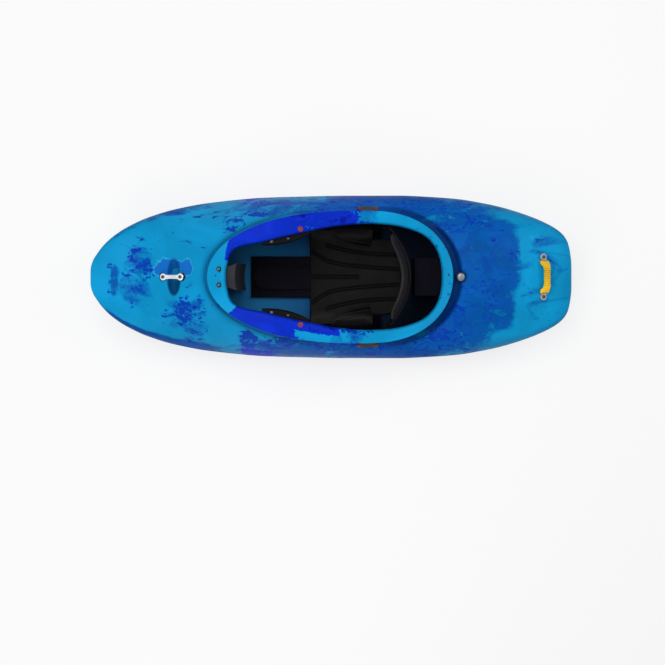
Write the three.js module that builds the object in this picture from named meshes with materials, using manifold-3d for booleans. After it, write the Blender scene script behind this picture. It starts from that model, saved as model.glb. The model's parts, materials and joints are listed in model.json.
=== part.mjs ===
// Whitewater kayak for freestyle play: a one-piece moulded plastic hull with its cockpit fittings.
// Millimetres, +Z up, bow towards -X, stern towards +X, port side towards -Y.
// The origin lies under the middle of the hull, on its flat planing bottom.
import * as THREE from 'three';
import { mergeVertices } from 'three/addons/utils/BufferGeometryUtils.js';
import Module from 'manifold-3d';

const wasm = await Module();
wasm.setup();

// Hull sizes
const hullLength = 1840;
const hullBreadth = 631;
const bowTipHeight = 222;
const deckPeakHeight = 351;
const hullWall = 6;

// Hull lines. Each pair is a share of the length from the bow, then a share of the named size.
const halfBreadthShares = [
  [0, 0.1], [0.004, 0.19], [0.0166, 0.313], [0.0414, 0.464], [0.062, 0.572], [0.0828, 0.639],
  [0.124, 0.747], [0.1655, 0.825], [0.2276, 0.898], [0.29, 0.946], [0.352, 0.976], [0.43, 0.99],
  [0.52, 1], [0.64, 1], [0.703, 0.982], [0.766, 0.952], [0.807, 0.91], [0.848, 0.861], [0.89, 0.783],
  [0.931, 0.687], [0.952, 0.627], [0.972, 0.548], [0.984, 0.48], [0.993, 0.386], [1, 0.169],
];
const keelShares = [
  [0, 0.96], [0.029, 0.8], [0.054, 0.62], [0.087, 0.41], [0.12, 0.27], [0.172, 0.158],
  [0.221, 0.081], [0.271, 0.032], [0.339, 0.01], [0.38, 0], [0.565, 0], [0.641, 0.036],
  [0.724, 0.09], [0.766, 0.135], [0.807, 0.185], [0.848, 0.245], [0.89, 0.32], [0.931, 0.44],
  [0.973, 0.58], [1, 0.675],
];
const seamShares = [
  [0, 0.985], [0.019, 0.93], [0.056, 0.835], [0.089, 0.74], [0.161, 0.59], [0.205, 0.534],
  [0.261, 0.49], [0.4345, 0.473], [0.497, 0.485], [0.63, 0.507], [0.727, 0.534], [0.81, 0.575],
  [0.866, 0.616], [0.909, 0.665], [0.958, 0.727], [1, 0.752],
];
const deckLineShares = [
  [0, 0.634], [0.05, 0.629], [0.097, 0.62], [0.124, 0.665], [0.145, 0.7], [0.186, 0.8],
  [0.2276, 0.897], [0.267, 0.962], [0.3207, 1.035], [0.372, 1.03], [0.4035, 0.985], [0.4345, 0.93],
  [0.4966, 0.82], [0.54, 0.74], [0.5814, 0.687], [0.6497, 0.667], [0.6994, 0.69], [0.738, 0.75],
  [0.78, 0.77], [0.807, 0.775], [0.8483, 0.735], [0.8897, 0.687], [0.9518, 0.59], [0.9932, 0.5185],
  [1, 0.487],
];

// Section shape. The deck falls from its crown to the seam as (1 - across ** crown) ** fall.
const crownPowerShares = [[0, 4.5], [0.1, 3.6], [0.19, 2.3], [0.5, 2.6], [0.8, 2.6], [1, 4]];
const crownFallShares = [[0, 0.4], [0.1, 0.5], [0.19, 0.8], [0.5, 0.62], [0.8, 0.62], [1, 0.45]];
const chineBreadthShares = [[0, 0.6], [0.2, 0.74], [0.45, 0.8], [0.75, 0.78], [1, 0.7]];
const bilgeBreadthShare = 0.94;
const bilgeHeightShare = 0.19;
const flankBreadthShare = 0.985;
const flankHeightShare = 0.62;
const deckAcrossShares = [0.98, 0.93, 0.85, 0.73, 0.58, 0.34, 0];
const hullStationCount = 30;

// Cockpit rim sizes. The rim outline is two half ovals that meet at its widest place.
const rimFrontShare = 0.2515;
const rimWidestShare = 0.569;
const rimRearShare = 0.746;
const rimBreadth = 494;
const rimFrontPower = 2.25;
const rimRearPower = 2.4;
const rimOverhang = 22;
const neckWall = 6;
const rimPeakHeight = 389;
const rimLipHeight = 18;
const rimLipChamfer = 3;
const rimPlateDepth = 13;
const rimRollDrop = 9;
const rimRollDepth = 26;
const rimRollWall = 7;
const rimStationCount = 52;
const neckTaperPower = 0.75;
const rimTopShares = [
  [0.25, 0.93], [0.26, 0.952], [0.27, 0.972], [0.29, 0.992], [0.31, 1], [0.383, 1], [0.4035, 0.982],
  [0.4345, 0.943], [0.4966, 0.859], [0.5587, 0.787], [0.61, 0.745], [0.662, 0.7275], [0.746, 0.722],
];
// Inner edge of the cockpit opening: shares of the opening's length and half breadth, bow to stern
const openingFrontShare = 0.2895;
const openingRearShare = 0.7235;
const openingBreadth = 397;
const openingShares = [
  [0, 0], [0.004, 0.2], [0.035, 0.49], [0.18, 0.652], [0.345, 0.815], [0.515, 0.955], [0.68, 1],
  [0.81, 0.945], [0.92, 0.77], [0.98, 0.47], [1, 0],
];

// Spray skirt groove behind the rim and the oval grip recess in the bow deck
const grooveWidth = 38;
const grooveDepth = 16;
const grooveTurnShare = 0.3;
const recessCentreShare = 0.176;
const recessLength = 52;
const recessBreadth = 146;
const recessDepth = 26;

// Bow safety bar and its moulded seats
const bowBarSpacing = 78;
const bowBarWidth = 16;
const bowBarEyeRadius = 12;
const bowBarThickness = 5;
const bowSeatRadius = 15;
const bowSeatRise = 7;
const deckBoltRadius = 3.5;
const deckBoltHeadRadius = 6.5;
const deckBoltHeadHeight = 4;
const deckBoltLength = 11;
const boltClearance = 0.3;

// Stern grab handle
const handleShare = 0.9335;
const handleFeetSpacing = 112;
const handlePlateSpacing = 152;
const handlePlateRadius = 13;
const handlePlateThickness = 5;
const handleSeatRise = 4;
const handleGripRise = 36;
const handleGripThickness = 13;
const handleGripWidth = 30;
const handlePinRadius = 3;
const handlePinHeight = 9;
const handlePinBoss = 6.5;
const handleRibCount = 9;
const handleRibDepth = 1.5;

// Drain plug behind the rim
const drainShare = 0.762;
const drainBossRadius = 22;
const drainBossTop = 262;
const drainFlangeRadius = 19;
const drainFlangeThickness = 3;
const drainBoreRadius = 9.5;
const drainBushRadius = 12.5;
const drainBushDepth = 16;
const drainGasketThickness = 2.5;
const drainHeadRadius = 16;
const drainHeadHeight = 9;
const drainStemRadius = 9;
const drainStemLength = 14;

// Front rim bolts, pillar bracket and foam pillars
const rimBoltSetback = 46;
const rimBoltSpacing = 58;
const rimBoltRadius = 3;
const rimBoltHeadRadius = 5.5;
const rimBoltHeadHeight = 3.5;
const rimWasherRadius = 9;
const rimWasherThickness = 2;
const bracketSetback = 15;
const bracketLengthShare = 0.05;
const bracketWidth = 102;
const bracketWaistShare = 0.74;
const bracketDrop = 29;
const bracketBossRadius = 9;
const frontPillarStartShare = 0.075;
const frontPillarWidth = 96;
const rearPillarWidth = 142;
const rearPillarFrontShare = 0.6696;
const rearPillarTop = 222;
const rearPillarEndShare = 0.95;

// Thigh hooks, one each side under the rim
const hookFrontShare = 0.3576;
const hookRearShare = 0.4522;
const hookThickness = 5;
const hookOutreach = 26;
const hookInreach = 38;
const hookFlatShare = 0.85;
const hookDroop = 30;
const hookStationCount = 9;
const hookTravel = 20;
const thighBoltShare = 0.4342;
const thighBoltSetback = 14;
const thighWasherRadius = 9.5;
const thighBossRadius = 10;
const thighPadThickness = 14;
const thighPadEndFullness = 0.6;
const thighPadMargin = 60;

// Outside plates, their bolts, and the ratchets that they hold inside the hull
const sidePlateShare = 0.5723;
const sidePlateReach = 255;
const sidePlateLength = 84;
const sidePlateWidth = 24;
const sidePlateThickness = 4;
const sideSeatRise = 3;
const sideBoltSpacing = 60;
const sideWasherRadius = 8.5;
const sideWasherThickness = 2;

// Seat, hip pads and backband
const seatFrontShare = 0.4489;
const seatRearShare = 0.6011;
const seatBreadth = 396;
const seatPanThickness = 5;
const seatBaseHeight = 12.5;
const seatWingHeight = 190;
const seatRunnerWidth = 24;
const seatRunnerReach = 70;
const seatRunnerFrontShare = 0.3978;
const seatRunnerRearShare = 0.5337;
const seatTravel = 20;
const seatStationCount = 10;
const seatNodeCount = 8;
const seatSectionShares = [[0, 0], [0.58, 0], [0.76, 0.08], [0.88, 0.3], [0.95, 0.62], [1, 1]];
const seatWingShares = [[0, 0.86], [0.3, 0.97], [0.5, 1], [0.75, 0.88], [1, 0.62]];
const seatPadThickness = 18;
const seatPadColumnCount = 22;
const hipPadThickness = 22;
const padChannelDepth = 4;
const padChannelWidth = 7;
const padEdgeFullness = 0.35;
const padRounding = 1 / 9;
const centreSeamEndShare = 2 / 3;
const hipStartShare = 0.3;
const hipEndShare = 0.9;
const hipInnerMargin = 0.06;
const hipOuterShare = 0.94;
const hipRounding = 1 / 4;
const trayWidth = 164;
const trayWallHeight = 16;
const trayRailReach = 46;
const trayRailWidth = 8;
const backbandCentreShare = 0.6554;
const backbandEndShare = 0.6109;
const backbandReach = 192;
const backbandLow = 120;
const backbandTop = 303;
const backbandEndTop = 252;
const backbandShellThickness = 4;
const backbandPadThickness = 18;
const backbandPadLowShare = 0.04;
const backbandPadTopShare = 0.98;
const backbandPadEdgeFullness = 0.25;
const backbandPivotHeight = 168;
const backbandLean = 6;
const backbandTabLength = 24;
const backbandTabHeight = 36;
const backbandStationCount = 15;
const backbandStudRadius = 4;

// Ratchets and ladder straps
const ratchetBaseThickness = 5;
const ratchetWidth = 18;
const ratchetBodyReach = 22;
const ratchetPinReach = 10;
const ratchetBarrelRadius = 8;
const ratchetPinRadius = 2.5;
const ratchetEarThickness = 2.7;
const ratchetLeverLength = 31;
const ratchetLeverThickness = 4;
const ladderWidth = 18;
const ladderThickness = 2.5;
const ladderStationCount = 8;

// Small hooks under the rear edge of the rim
const anchorReach = 92;
const anchorLength = 18;
const anchorWidth = 8;
const anchorThickness = 3;

// Footrest
const footRailStartShare = 0.1109;
const footRailLengthShare = 0.1424;
const footRailHeight = 24;
const footRailDepth = 10;
const footRailCentre = 122;
const footPlateShare = 0.1739;
const footPlateThickness = 6;
const footPlateWidth = 108;
const footPlateHeight = 104;
const footPlateRibCount = 3;

// Facets round a turned piece, by its size
const fineSides = 16;
const roundSides = 12;
const boltSides = 8;
const endSides = 6;

// General clearances
const seatGap = 0.3;
const cutOverrun = 60;

// Smooth line through hand-chosen pairs, without overshoot between them
function smoothLine(pairs, runSize, riseSize) {
  const runs = pairs.map(([run]) => run * runSize);
  const rises = pairs.map(([, rise]) => rise * riseSize);
  const slopes = runs.slice(1).map((run, i) => (rises[i + 1] - rises[i]) / (run - runs[i]));
  const tangents = runs.map((run, i) => {
    const before = slopes[Math.max(i - 1, 0)];
    const after = slopes[Math.min(i, slopes.length - 1)];
    return before * after <= 0 ? 0 : (2 * before * after) / (before + after);
  });
  return (run) => {
    const clamped = Math.min(Math.max(run, runs[0]), runs[runs.length - 1]);
    let i = 0;
    while (i < slopes.length - 1 && clamped > runs[i + 1]) i += 1;
    const span = runs[i + 1] - runs[i];
    const t = (clamped - runs[i]) / span;
    const startPull = tangents[i] * span * t * (1 - t) ** 2;
    const endPull = tangents[i + 1] * span * t * t * (t - 1);
    return rises[i] * (1 + 2 * t) * (1 - t) ** 2 + rises[i + 1] * t * t * (3 - 2 * t) + startPull + endPull;
  };
}

// Places along the hull: x from a share of the length, and a line's value at x
const stationX = (share) => (share - 1 / 2) * hullLength;
function alongHull(pairs, size) {
  const line = smoothLine(pairs, hullLength, size);
  return (x) => line(x + hullLength / 2);
}
const halfBreadthAt = alongHull(halfBreadthShares, hullBreadth / 2);
const keelAt = alongHull(keelShares, bowTipHeight);
const seamAt = alongHull(seamShares, bowTipHeight);
const deckLineAt = alongHull(deckLineShares, deckPeakHeight);
const crownPowerAt = alongHull(crownPowerShares, 1);
const crownFallAt = alongHull(crownFallShares, 1);
const chineShareAt = alongHull(chineBreadthShares, 1);
const rimTopAt = alongHull(rimTopShares, rimPeakHeight);

const rimFrontX = stationX(rimFrontShare);
const rimWidestX = stationX(rimWidestShare);
const rimRearX = stationX(rimRearShare);
const openingFrontX = stationX(openingFrontShare);
const openingRearX = stationX(openingRearShare);

// Fittings along the hull
const rearPillarFrontX = stationX(rearPillarFrontShare);
const hookFrontX = stationX(hookFrontShare);
const hookRearX = stationX(hookRearShare);
const thighBoltX = stationX(thighBoltShare);
const sidePlateX = stationX(sidePlateShare);
const seatFrontX = stationX(seatFrontShare);
const seatRearX = stationX(seatRearShare);
const seatRunnerFrontX = stationX(seatRunnerFrontShare);
const seatRunnerRearX = stationX(seatRunnerRearShare);
const backbandCentreX = stationX(backbandCentreShare);
const backbandEndX = stationX(backbandEndShare);
const footRailStartX = stationX(footRailStartShare);
const footPlateX = stationX(footPlateShare);
const footRailLength = footRailLengthShare * hullLength;
const bracketLength = bracketLengthShare * hullLength;

// Half breadth of the deck line's reference inside the cockpit, nought outside it
function neckReachAt(x) {
  const front = x < rimWidestX;
  const half = (front ? rimWidestX - rimFrontX : rimRearX - rimWidestX) - rimOverhang;
  const off = Math.abs(x - rimWidestX) / half;
  return off < 1 ? (rimBreadth / 2 - rimOverhang) * (1 - off * off) ** neckTaperPower : 0;
}

const deckFall = (x, across) => (1 - Math.min(across, 1) ** crownPowerAt(x)) ** crownFallAt(x);

// Height of the deck at a place; inset moves the surface inwards by a wall
function deckHeight(x, y, inset = 0) {
  const half = halfBreadthAt(x);
  const seam = seamAt(x);
  const crown = (deckLineAt(x) - seam) / deckFall(x, neckReachAt(x) / half);
  return seam + (crown - inset) * deckFall(x, Math.abs(y) / (half - inset));
}

// Half section of the bottom from the keel to the seam
function bottomPoints(x, inset = 0) {
  const half = halfBreadthAt(x) - inset;
  const keel = keelAt(x) + inset;
  const rise = seamAt(x) - keel;
  const chine = half * chineShareAt(x);
  return [
    new THREE.Vector2(0, keel),
    new THREE.Vector2(chine / 2, keel),
    new THREE.Vector2(chine, keel),
    new THREE.Vector2(half * bilgeBreadthShare, keel + rise * bilgeHeightShare),
    new THREE.Vector2(half * flankBreadthShare, keel + rise * flankHeightShare),
    new THREE.Vector2(half, seamAt(x)),
  ];
}

// Whole section ring, both sides, as points in the hull's frame
function sectionRing(x, inset) {
  const reach = halfBreadthAt(x) - inset;
  const deck = deckAcrossShares.map(
    (share) => new THREE.Vector2(reach * share, deckHeight(x, reach * share, inset)));
  const starboard = [...bottomPoints(x, inset), ...deck];
  const port = starboard.slice(1, -1).reverse().map((point) => new THREE.Vector2(-point.x, point.y));
  return [...starboard, ...port].map((point) => new THREE.Vector3(x, point.x, point.y));
}

// Closed solid through rings of equal point counts. Its ends close about their middles, or in strips
// where each ring runs out along one surface and back along another.
function loft(rings, inStrips = false) {
  const count = rings[0].length;
  const faces = [];
  for (let row = 0; row < rings.length - 1; row += 1) {
    for (let i = 0; i < count; i += 1) {
      const a = row * count + i;
      const b = row * count + ((i + 1) % count);
      faces.push(a, b, b + count, a, b + count, a + count);
    }
  }
  const last = (rings.length - 1) * count;
  if (inStrips) {
    for (let i = 0; i < count / 2 - 1; i += 1) {
      const [next, far, back] = [i + 1, count - 2 - i, count - 1 - i];
      faces.push(back, next, i, back, far, next);
      faces.push(last + i, last + next, last + back, last + next, last + far, last + back);
    }
    return indexed(rings.flat(), faces);
  }
  const centres = [rings[0], rings[rings.length - 1]].map((ring) => ring
    .reduce((sum, point) => sum.add(point), new THREE.Vector3()).divideScalar(count));
  const places = [...rings.flat(), ...centres];
  for (let i = 0; i < count; i += 1) {
    const next = (i + 1) % count;
    faces.push(places.length - 2, next, i);
    faces.push(places.length - 1, last + i, last + next);
  }
  return indexed(places, faces);
}

// Closed solid swept round a closed loop of section rings
function ringSweep(rings) {
  const count = rings[0].length;
  const faces = [];
  rings.forEach((ring, row) => ring.forEach((point, i) => {
    const next = (row + 1) % rings.length;
    const a = row * count + i;
    const b = row * count + ((i + 1) % count);
    const c = next * count + ((i + 1) % count);
    const d = next * count + i;
    faces.push(a, b, c, a, c, d);
  }));
  return indexed(rings.flat(), faces);
}

function indexed(places, faces) {
  const geometry = new THREE.BufferGeometry();
  geometry.setAttribute('position', new THREE.Float32BufferAttribute(places.flatMap((p) => p.toArray()), 3));
  geometry.setIndex(faces);
  return geometry;
}

// Signed volume of a closed geometry, to turn it the right way out
function signedVolume(geometry) {
  const place = geometry.getAttribute('position');
  const corners = geometry.getIndex().array;
  const [a, b, c] = [new THREE.Vector3(), new THREE.Vector3(), new THREE.Vector3()];
  let sum = 0;
  for (let i = 0; i < corners.length; i += 3) {
    a.fromBufferAttribute(place, corners[i]);
    b.fromBufferAttribute(place, corners[i + 1]);
    c.fromBufferAttribute(place, corners[i + 2]);
    sum += a.dot(b.cross(c));
  }
  return sum;
}

// Solid for boolean work from any closed geometry
function solid(geometry) {
  const bare = geometry.clone();
  bare.deleteAttribute('normal');
  bare.deleteAttribute('uv');
  const merged = mergeVertices(bare);
  const triVerts = new Uint32Array(merged.getIndex().array);
  if (signedVolume(merged) < 0) triVerts.reverse();
  const vertProperties = new Float32Array(merged.getAttribute('position').array);
  return new wasm.Manifold(new wasm.Mesh({ numProp: 3, vertProperties, triVerts }));
}

// Geometry from a solid
function shape(body) {
  const mesh = body.getMesh();
  const geometry = new THREE.BufferGeometry();
  const places = new Float32Array(mesh.vertProperties);
  geometry.setAttribute('position', new THREE.BufferAttribute(places, 3));
  geometry.setIndex(new THREE.BufferAttribute(new Uint32Array(mesh.triVerts), 1));
  geometry.computeVertexNormals();
  return geometry;
}

// Stations from bow to stern, closer together at both ends; the cavity keeps to the inner ones
const hullStations = Array.from({ length: hullStationCount }, (_, i) => {
  const even = i / (hullStationCount - 1);
  const eased = (1 - Math.cos(Math.PI * even)) / 2;
  return stationX((eased + even) / 2);
});
const cavityStations = hullStations.slice(1, -1);

// Rim outline at an angle from the bow, drawn in by an inset
function rimOutline(angle, inset) {
  const front = Math.cos(angle) > 0;
  const half = (front ? rimWidestX - rimFrontX : rimRearX - rimWidestX) - inset;
  const power = front ? rimFrontPower : rimRearPower;
  const along = Math.abs(Math.cos(angle)) ** (2 / power) * half;
  return new THREE.Vector2(rimWidestX + (front ? -along : along), Math.sin(angle) * (rimBreadth / 2 - inset));
}

// Points at even spacing round a closed plan curve, from the bow end to starboard first
function evenRound(points) {
  const closed = new THREE.CatmullRomCurve3(points.map((p) => new THREE.Vector3(p.x, p.y, 0)), true);
  return closed.getSpacedPoints(rimStationCount).slice(0, rimStationCount);
}
const rimOuterEdge = evenRound(Array.from({ length: rimStationCount }, (_, i) => rimOutline(
  (2 * Math.PI * i) / rimStationCount, 0)));
const openingEdge = evenRound([
  ...openingShares, ...openingShares.slice(1, -1).reverse().map(([along, across]) => [along, -across]),
].map(([along, across]) => new THREE.Vector2(
  THREE.MathUtils.lerp(openingFrontX, openingRearX, along), (across * openingBreadth) / 2)));

// How deep the spray skirt groove runs at a rim station: full at the stern, nought at the sides
function groovePull(station) {
  const fromStern = Math.abs(station / rimStationCount - 1 / 2) / grooveTurnShare;
  return fromStern < 1 ? Math.cos((fromStern * Math.PI) / 2) ** 2 : 0;
}

// Plan point at a rim station, moved in from the outer edge (negative moves out)
function rimPoint(station, inward) {
  const outer = rimOuterEdge[station];
  const towards = openingEdge[station].clone().sub(outer).normalize();
  return outer.clone().addScaledVector(towards, inward);
}

// The rim and its neck in one section at a station: lip, plate, rolled inner edge and neck wall
function rimSection(station) {
  const width = openingEdge[station].distanceTo(rimOuterEdge[station]);
  const at = (inward, drop) => {
    const point = rimPoint(station, inward);
    return point.setZ(rimTopAt(point.x) - drop);
  };
  const foot = (inward) => {
    const point = rimPoint(station, inward);
    const surface = deckHeight(point.x, point.y) - grooveDepth * groovePull(station);
    return point.setZ(surface - (hullWall * 3) / 4);
  };
  return [
    at(0, rimLipHeight),
    at(0, rimLipChamfer),
    at(rimLipChamfer, 0),
    at(width - rimRollWall * 2, rimLipChamfer),
    at(width - rimRollWall / 2, rimRollDrop * 3 / 4),
    at(width, rimRollDrop * 2),
    at(width, rimRollDepth),
    at(width - rimRollWall, rimRollDepth),
    at(width - rimRollWall, rimPlateDepth),
    at(rimOverhang + neckWall, rimPlateDepth),
    foot(rimOverhang + neckWall),
    foot(rimOverhang),
    at(rimOverhang, rimPlateDepth),
  ];
}

// Crescent cutter for the groove behind the rim, grown by a wall for the inside of the hull
function grooveCutter(grow) {
  const half = Math.floor(rimStationCount * grooveTurnShare);
  const middle = rimStationCount / 2;
  const rings = [];
  for (let station = middle - half; station <= middle + half; station += 1) {
    const pull = groovePull(station);
    const inner = rimPoint(station, rimOverhang + neckWall / 2 - grow);
    const outer = rimPoint(station, -grooveWidth * Math.sqrt(pull) - grow);
    const toe = rimPoint(station, -grooveWidth * Math.sqrt(pull) * 3 / 5 - grow);
    const neck = rimPoint(station, rimOverhang);
    const floor = deckHeight(neck.x, neck.y) - grooveDepth * pull + hullWall * (1 - pull) - grow;
    const edge = Math.max(deckHeight(outer.x, outer.y) - grow, floor);
    rings.push([
      inner.clone().setZ(floor), toe.clone().setZ(floor), outer.clone().setZ(edge + hullWall / 2),
      outer.clone().setZ(floor + cutOverrun), inner.clone().setZ(floor + cutOverrun),
    ]);
  }
  return solid(loft(rings));
}

// Ellipsoid cutter for the grip recess in the bow deck
function recessCutter(grow) {
  const x = stationX(recessCentreShare);
  const ball = new THREE.SphereGeometry(1, fineSides, fineSides / 2);
  ball.scale(recessLength / 2 + grow, recessBreadth / 2 + grow, recessDepth + grow);
  return solid(ball.translate(x, 0, deckHeight(x, 0)));
}

// Upright prism over a plan outline
function prism(points, base, height) {
  const outline = new THREE.Shape(points.map((p) => new THREE.Vector2(p.x, p.y)));
  const block = new THREE.ExtrudeGeometry(outline, { depth: height, bevelEnabled: false });
  return solid(block.translate(0, 0, base));
}

// Outer and inner skins of the moulding
const outerSkin = () => solid(loft(hullStations.map((x) => sectionRing(x, 0))))
  .subtract(grooveCutter(0)).subtract(recessCutter(0));
const innerSkin = (inset) => solid(loft(cavityStations.map((x) => sectionRing(x, inset))))
  .subtract(grooveCutter(inset)).subtract(recessCutter(inset));
const rimRing = () => solid(ringSweep(rimOuterEdge.map((point, station) => rimSection(station))));
const cockpitCutter = () => prism(
  rimOuterEdge.map((point, station) => rimPoint(station, rimOverhang + neckWall * 3 / 4)),
  deckPeakHeight / 2, deckPeakHeight);

const kayak = new THREE.Group();

// Adds a named piece with its own finish
function addPiece(name, body, finish) {
  const mesh = new THREE.Mesh(shape(body), new THREE.MeshStandardMaterial(finish));
  mesh.name = name;
  kayak.add(mesh);
}

const finishes = {
  blueHull: { color: 0x1f8fce, roughness: 0.42, metalness: 0 },
  steel: { color: 0xb9bcc0, roughness: 0.3, metalness: 1 },
  darkSteel: { color: 0x3a3d42, roughness: 0.38, metalness: 0.9 },
  aluminium: { color: 0xa9adb2, roughness: 0.42, metalness: 1 },
  yellowGrip: { color: 0xf2c21a, roughness: 0.5, metalness: 0 },
  greyPlastic: { color: 0x5a5d61, roughness: 0.5, metalness: 0 },
  blackPlastic: { color: 0x17171c, roughness: 0.45, metalness: 0 },
  blackRubber: { color: 0x111113, roughness: 0.85, metalness: 0 },
  redWasher: { color: 0xb5302a, roughness: 0.45, metalness: 0 },
  blackFabric: { color: 0x1b1c1e, roughness: 0.95, metalness: 0 },
  darkFoam: { color: 0x1a1830, roughness: 0.9, metalness: 0 },
};

// What the fittings add to the moulding and what they drill out of it
const hullSeats = [];
const hullHoles = [];

const up = new THREE.Vector3(0, 0, 1);

// Upright cylinder from one height to another
function post(radius, base, top, sides = roundSides) {
  const bar = new THREE.CylinderGeometry(radius, radius, top - base, sides);
  return bar.rotateX(Math.PI / 2).translate(0, 0, (top + base) / 2);
}

// Cylinder along Y between two places
function crossPin(radius, fromY, toY, sides = roundSides) {
  return new THREE.CylinderGeometry(radius, radius, toY - fromY, sides).translate(0, (toY + fromY) / 2, 0);
}

// Box between two corners
function block(low, high) {
  const box = new THREE.BoxGeometry(high.x - low.x, high.y - low.y, high.z - low.z);
  return box.translate((high.x + low.x) / 2, (high.y + low.y) / 2, (high.z + low.z) / 2);
}
const at = (x, y, z) => new THREE.Vector3(x, y, z);

// Turned piece from a profile of radius and height pairs
function turned(profile, sides = roundSides) {
  const points = profile.map(([radius, height]) => new THREE.Vector2(radius, height));
  return new THREE.LatheGeometry(points, sides).rotateX(Math.PI / 2);
}

// Flat bar with round ends, lying along X
function stadium(length, width, base, top, sides = endSides) {
  const outline = new THREE.Shape();
  const reach = (length - width) / 2;
  outline.absarc(reach, 0, width / 2, -Math.PI / 2, Math.PI / 2);
  outline.absarc(-reach, 0, width / 2, Math.PI / 2, (Math.PI * 3) / 2);
  const options = { depth: top - base, bevelEnabled: false, curveSegments: sides };
  return new THREE.ExtrudeGeometry(outline, options).translate(0, 0, base);
}

// Solid placed by a frame
const placed = (geometry, frame) => solid(geometry.clone().applyMatrix4(frame));

// Frame with its X axis along a direction and its Z axis as near as can be to a normal
function frameAlong(origin, along, normal) {
  const xAxis = along.clone().normalize();
  const yAxis = normal.clone().cross(xAxis).normalize();
  const zAxis = xAxis.clone().cross(yAxis);
  return new THREE.Matrix4().makeBasis(xAxis, yAxis, zAxis).setPosition(origin);
}

// Frame that stands on the deck, X towards the stern and Z out of the surface
function deckFrame(x, y) {
  const step = hullWall;
  const along = at(step * 2, 0, deckHeight(x + step, y) - deckHeight(x - step, y));
  const across = at(0, step * 2, deckHeight(x, y + step) - deckHeight(x, y - step));
  return frameAlong(at(x, y, deckHeight(x, y)), along, along.clone().cross(across));
}

// Button-headed bolt: head above zero, shank below, with a nut low on the shank where one is given
function bolt(shankRadius, shankLength, headRadius, headHeight, nut = null) {
  const tip = nut
    ? [[0, -shankLength], [shankRadius, -shankLength], [shankRadius, nut.low], [nut.radius, nut.low],
      [nut.radius, nut.high], [shankRadius, nut.high]]
    : [[0, -shankLength], [shankRadius, -shankLength]];
  const head = [[shankRadius, 0], [headRadius, 0], [headRadius, headHeight / 2],
    [headRadius * 3 / 4, headHeight], [headRadius / 2, headHeight], [headRadius / 2, headHeight / 2],
    [0, headHeight / 2]];
  return turned([...tip, ...head], boltSides);
}

// Flat washer or ring between two radii, standing on a height
const ring = (inner, outer, base, thickness, sides = roundSides) => turned([[inner, base],
  [outer, base], [outer, base + thickness], [inner, base + thickness], [inner, base]], sides);

// Height and plan places along the starboard edge of the cockpit opening
function openingReachAt(x) {
  const half = openingEdge.slice(0, rimStationCount / 2 + 1);
  const next = half.findIndex((point) => point.x > x);
  const [before, after] = [half[next - 1], half[next]];
  return THREE.MathUtils.mapLinear(x, before.x, after.x, before.y, after.y);
}

// Steel safety bar bridging the recess, on two moulded seats
function addBowBar() {
  const x = stationX(recessCentreShare);
  const reach = bowBarSpacing / 2;
  const feet = [x - reach, x + reach].map((place) => at(place, 0, deckHeight(place, 0)));
  const middle = feet[0].clone().add(feet[1]).divideScalar(2);
  const frame = frameAlong(middle, feet[1].clone().sub(feet[0]), up);
  const barBase = bowSeatRise + seatGap;
  const barTop = barBase + bowBarThickness;
  const neckAngle = Math.asin(bowBarWidth / 2 / bowBarEyeRadius);
  const outline = new THREE.Shape();
  outline.absarc(reach, 0, bowBarEyeRadius, neckAngle - Math.PI, Math.PI - neckAngle);
  outline.absarc(-reach, 0, bowBarEyeRadius, neckAngle, 2 * Math.PI - neckAngle);
  const options = { depth: bowBarThickness, bevelEnabled: false, curveSegments: roundSides };
  const bar = new THREE.ExtrudeGeometry(outline, options).translate(0, 0, barBase);
  const drills = [-reach, reach].map((along) => placed(
    post(deckBoltRadius + boltClearance, -hullWall / 2, cutOverrun).translate(along, 0, 0), frame));
  addPiece('bow_safety_bar', drills.reduce((body, drill) => body.subtract(drill), placed(bar, frame)),
    finishes.steel);
  [['front', -reach], ['rear', reach]].forEach(([end, along], i) => {
    const seat = post(bowSeatRadius, -hullWall, bowSeatRise, fineSides).translate(along, 0, 0);
    hullSeats.push(placed(seat, frame));
    hullHoles.push(drills[i]);
    const geometry = bolt(deckBoltRadius, deckBoltLength, deckBoltHeadRadius, deckBoltHeadHeight);
    addPiece(`bow_bar_bolt_${end}`, placed(geometry.translate(along, 0, barTop + seatGap), frame),
      finishes.steel);
  });
}

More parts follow.
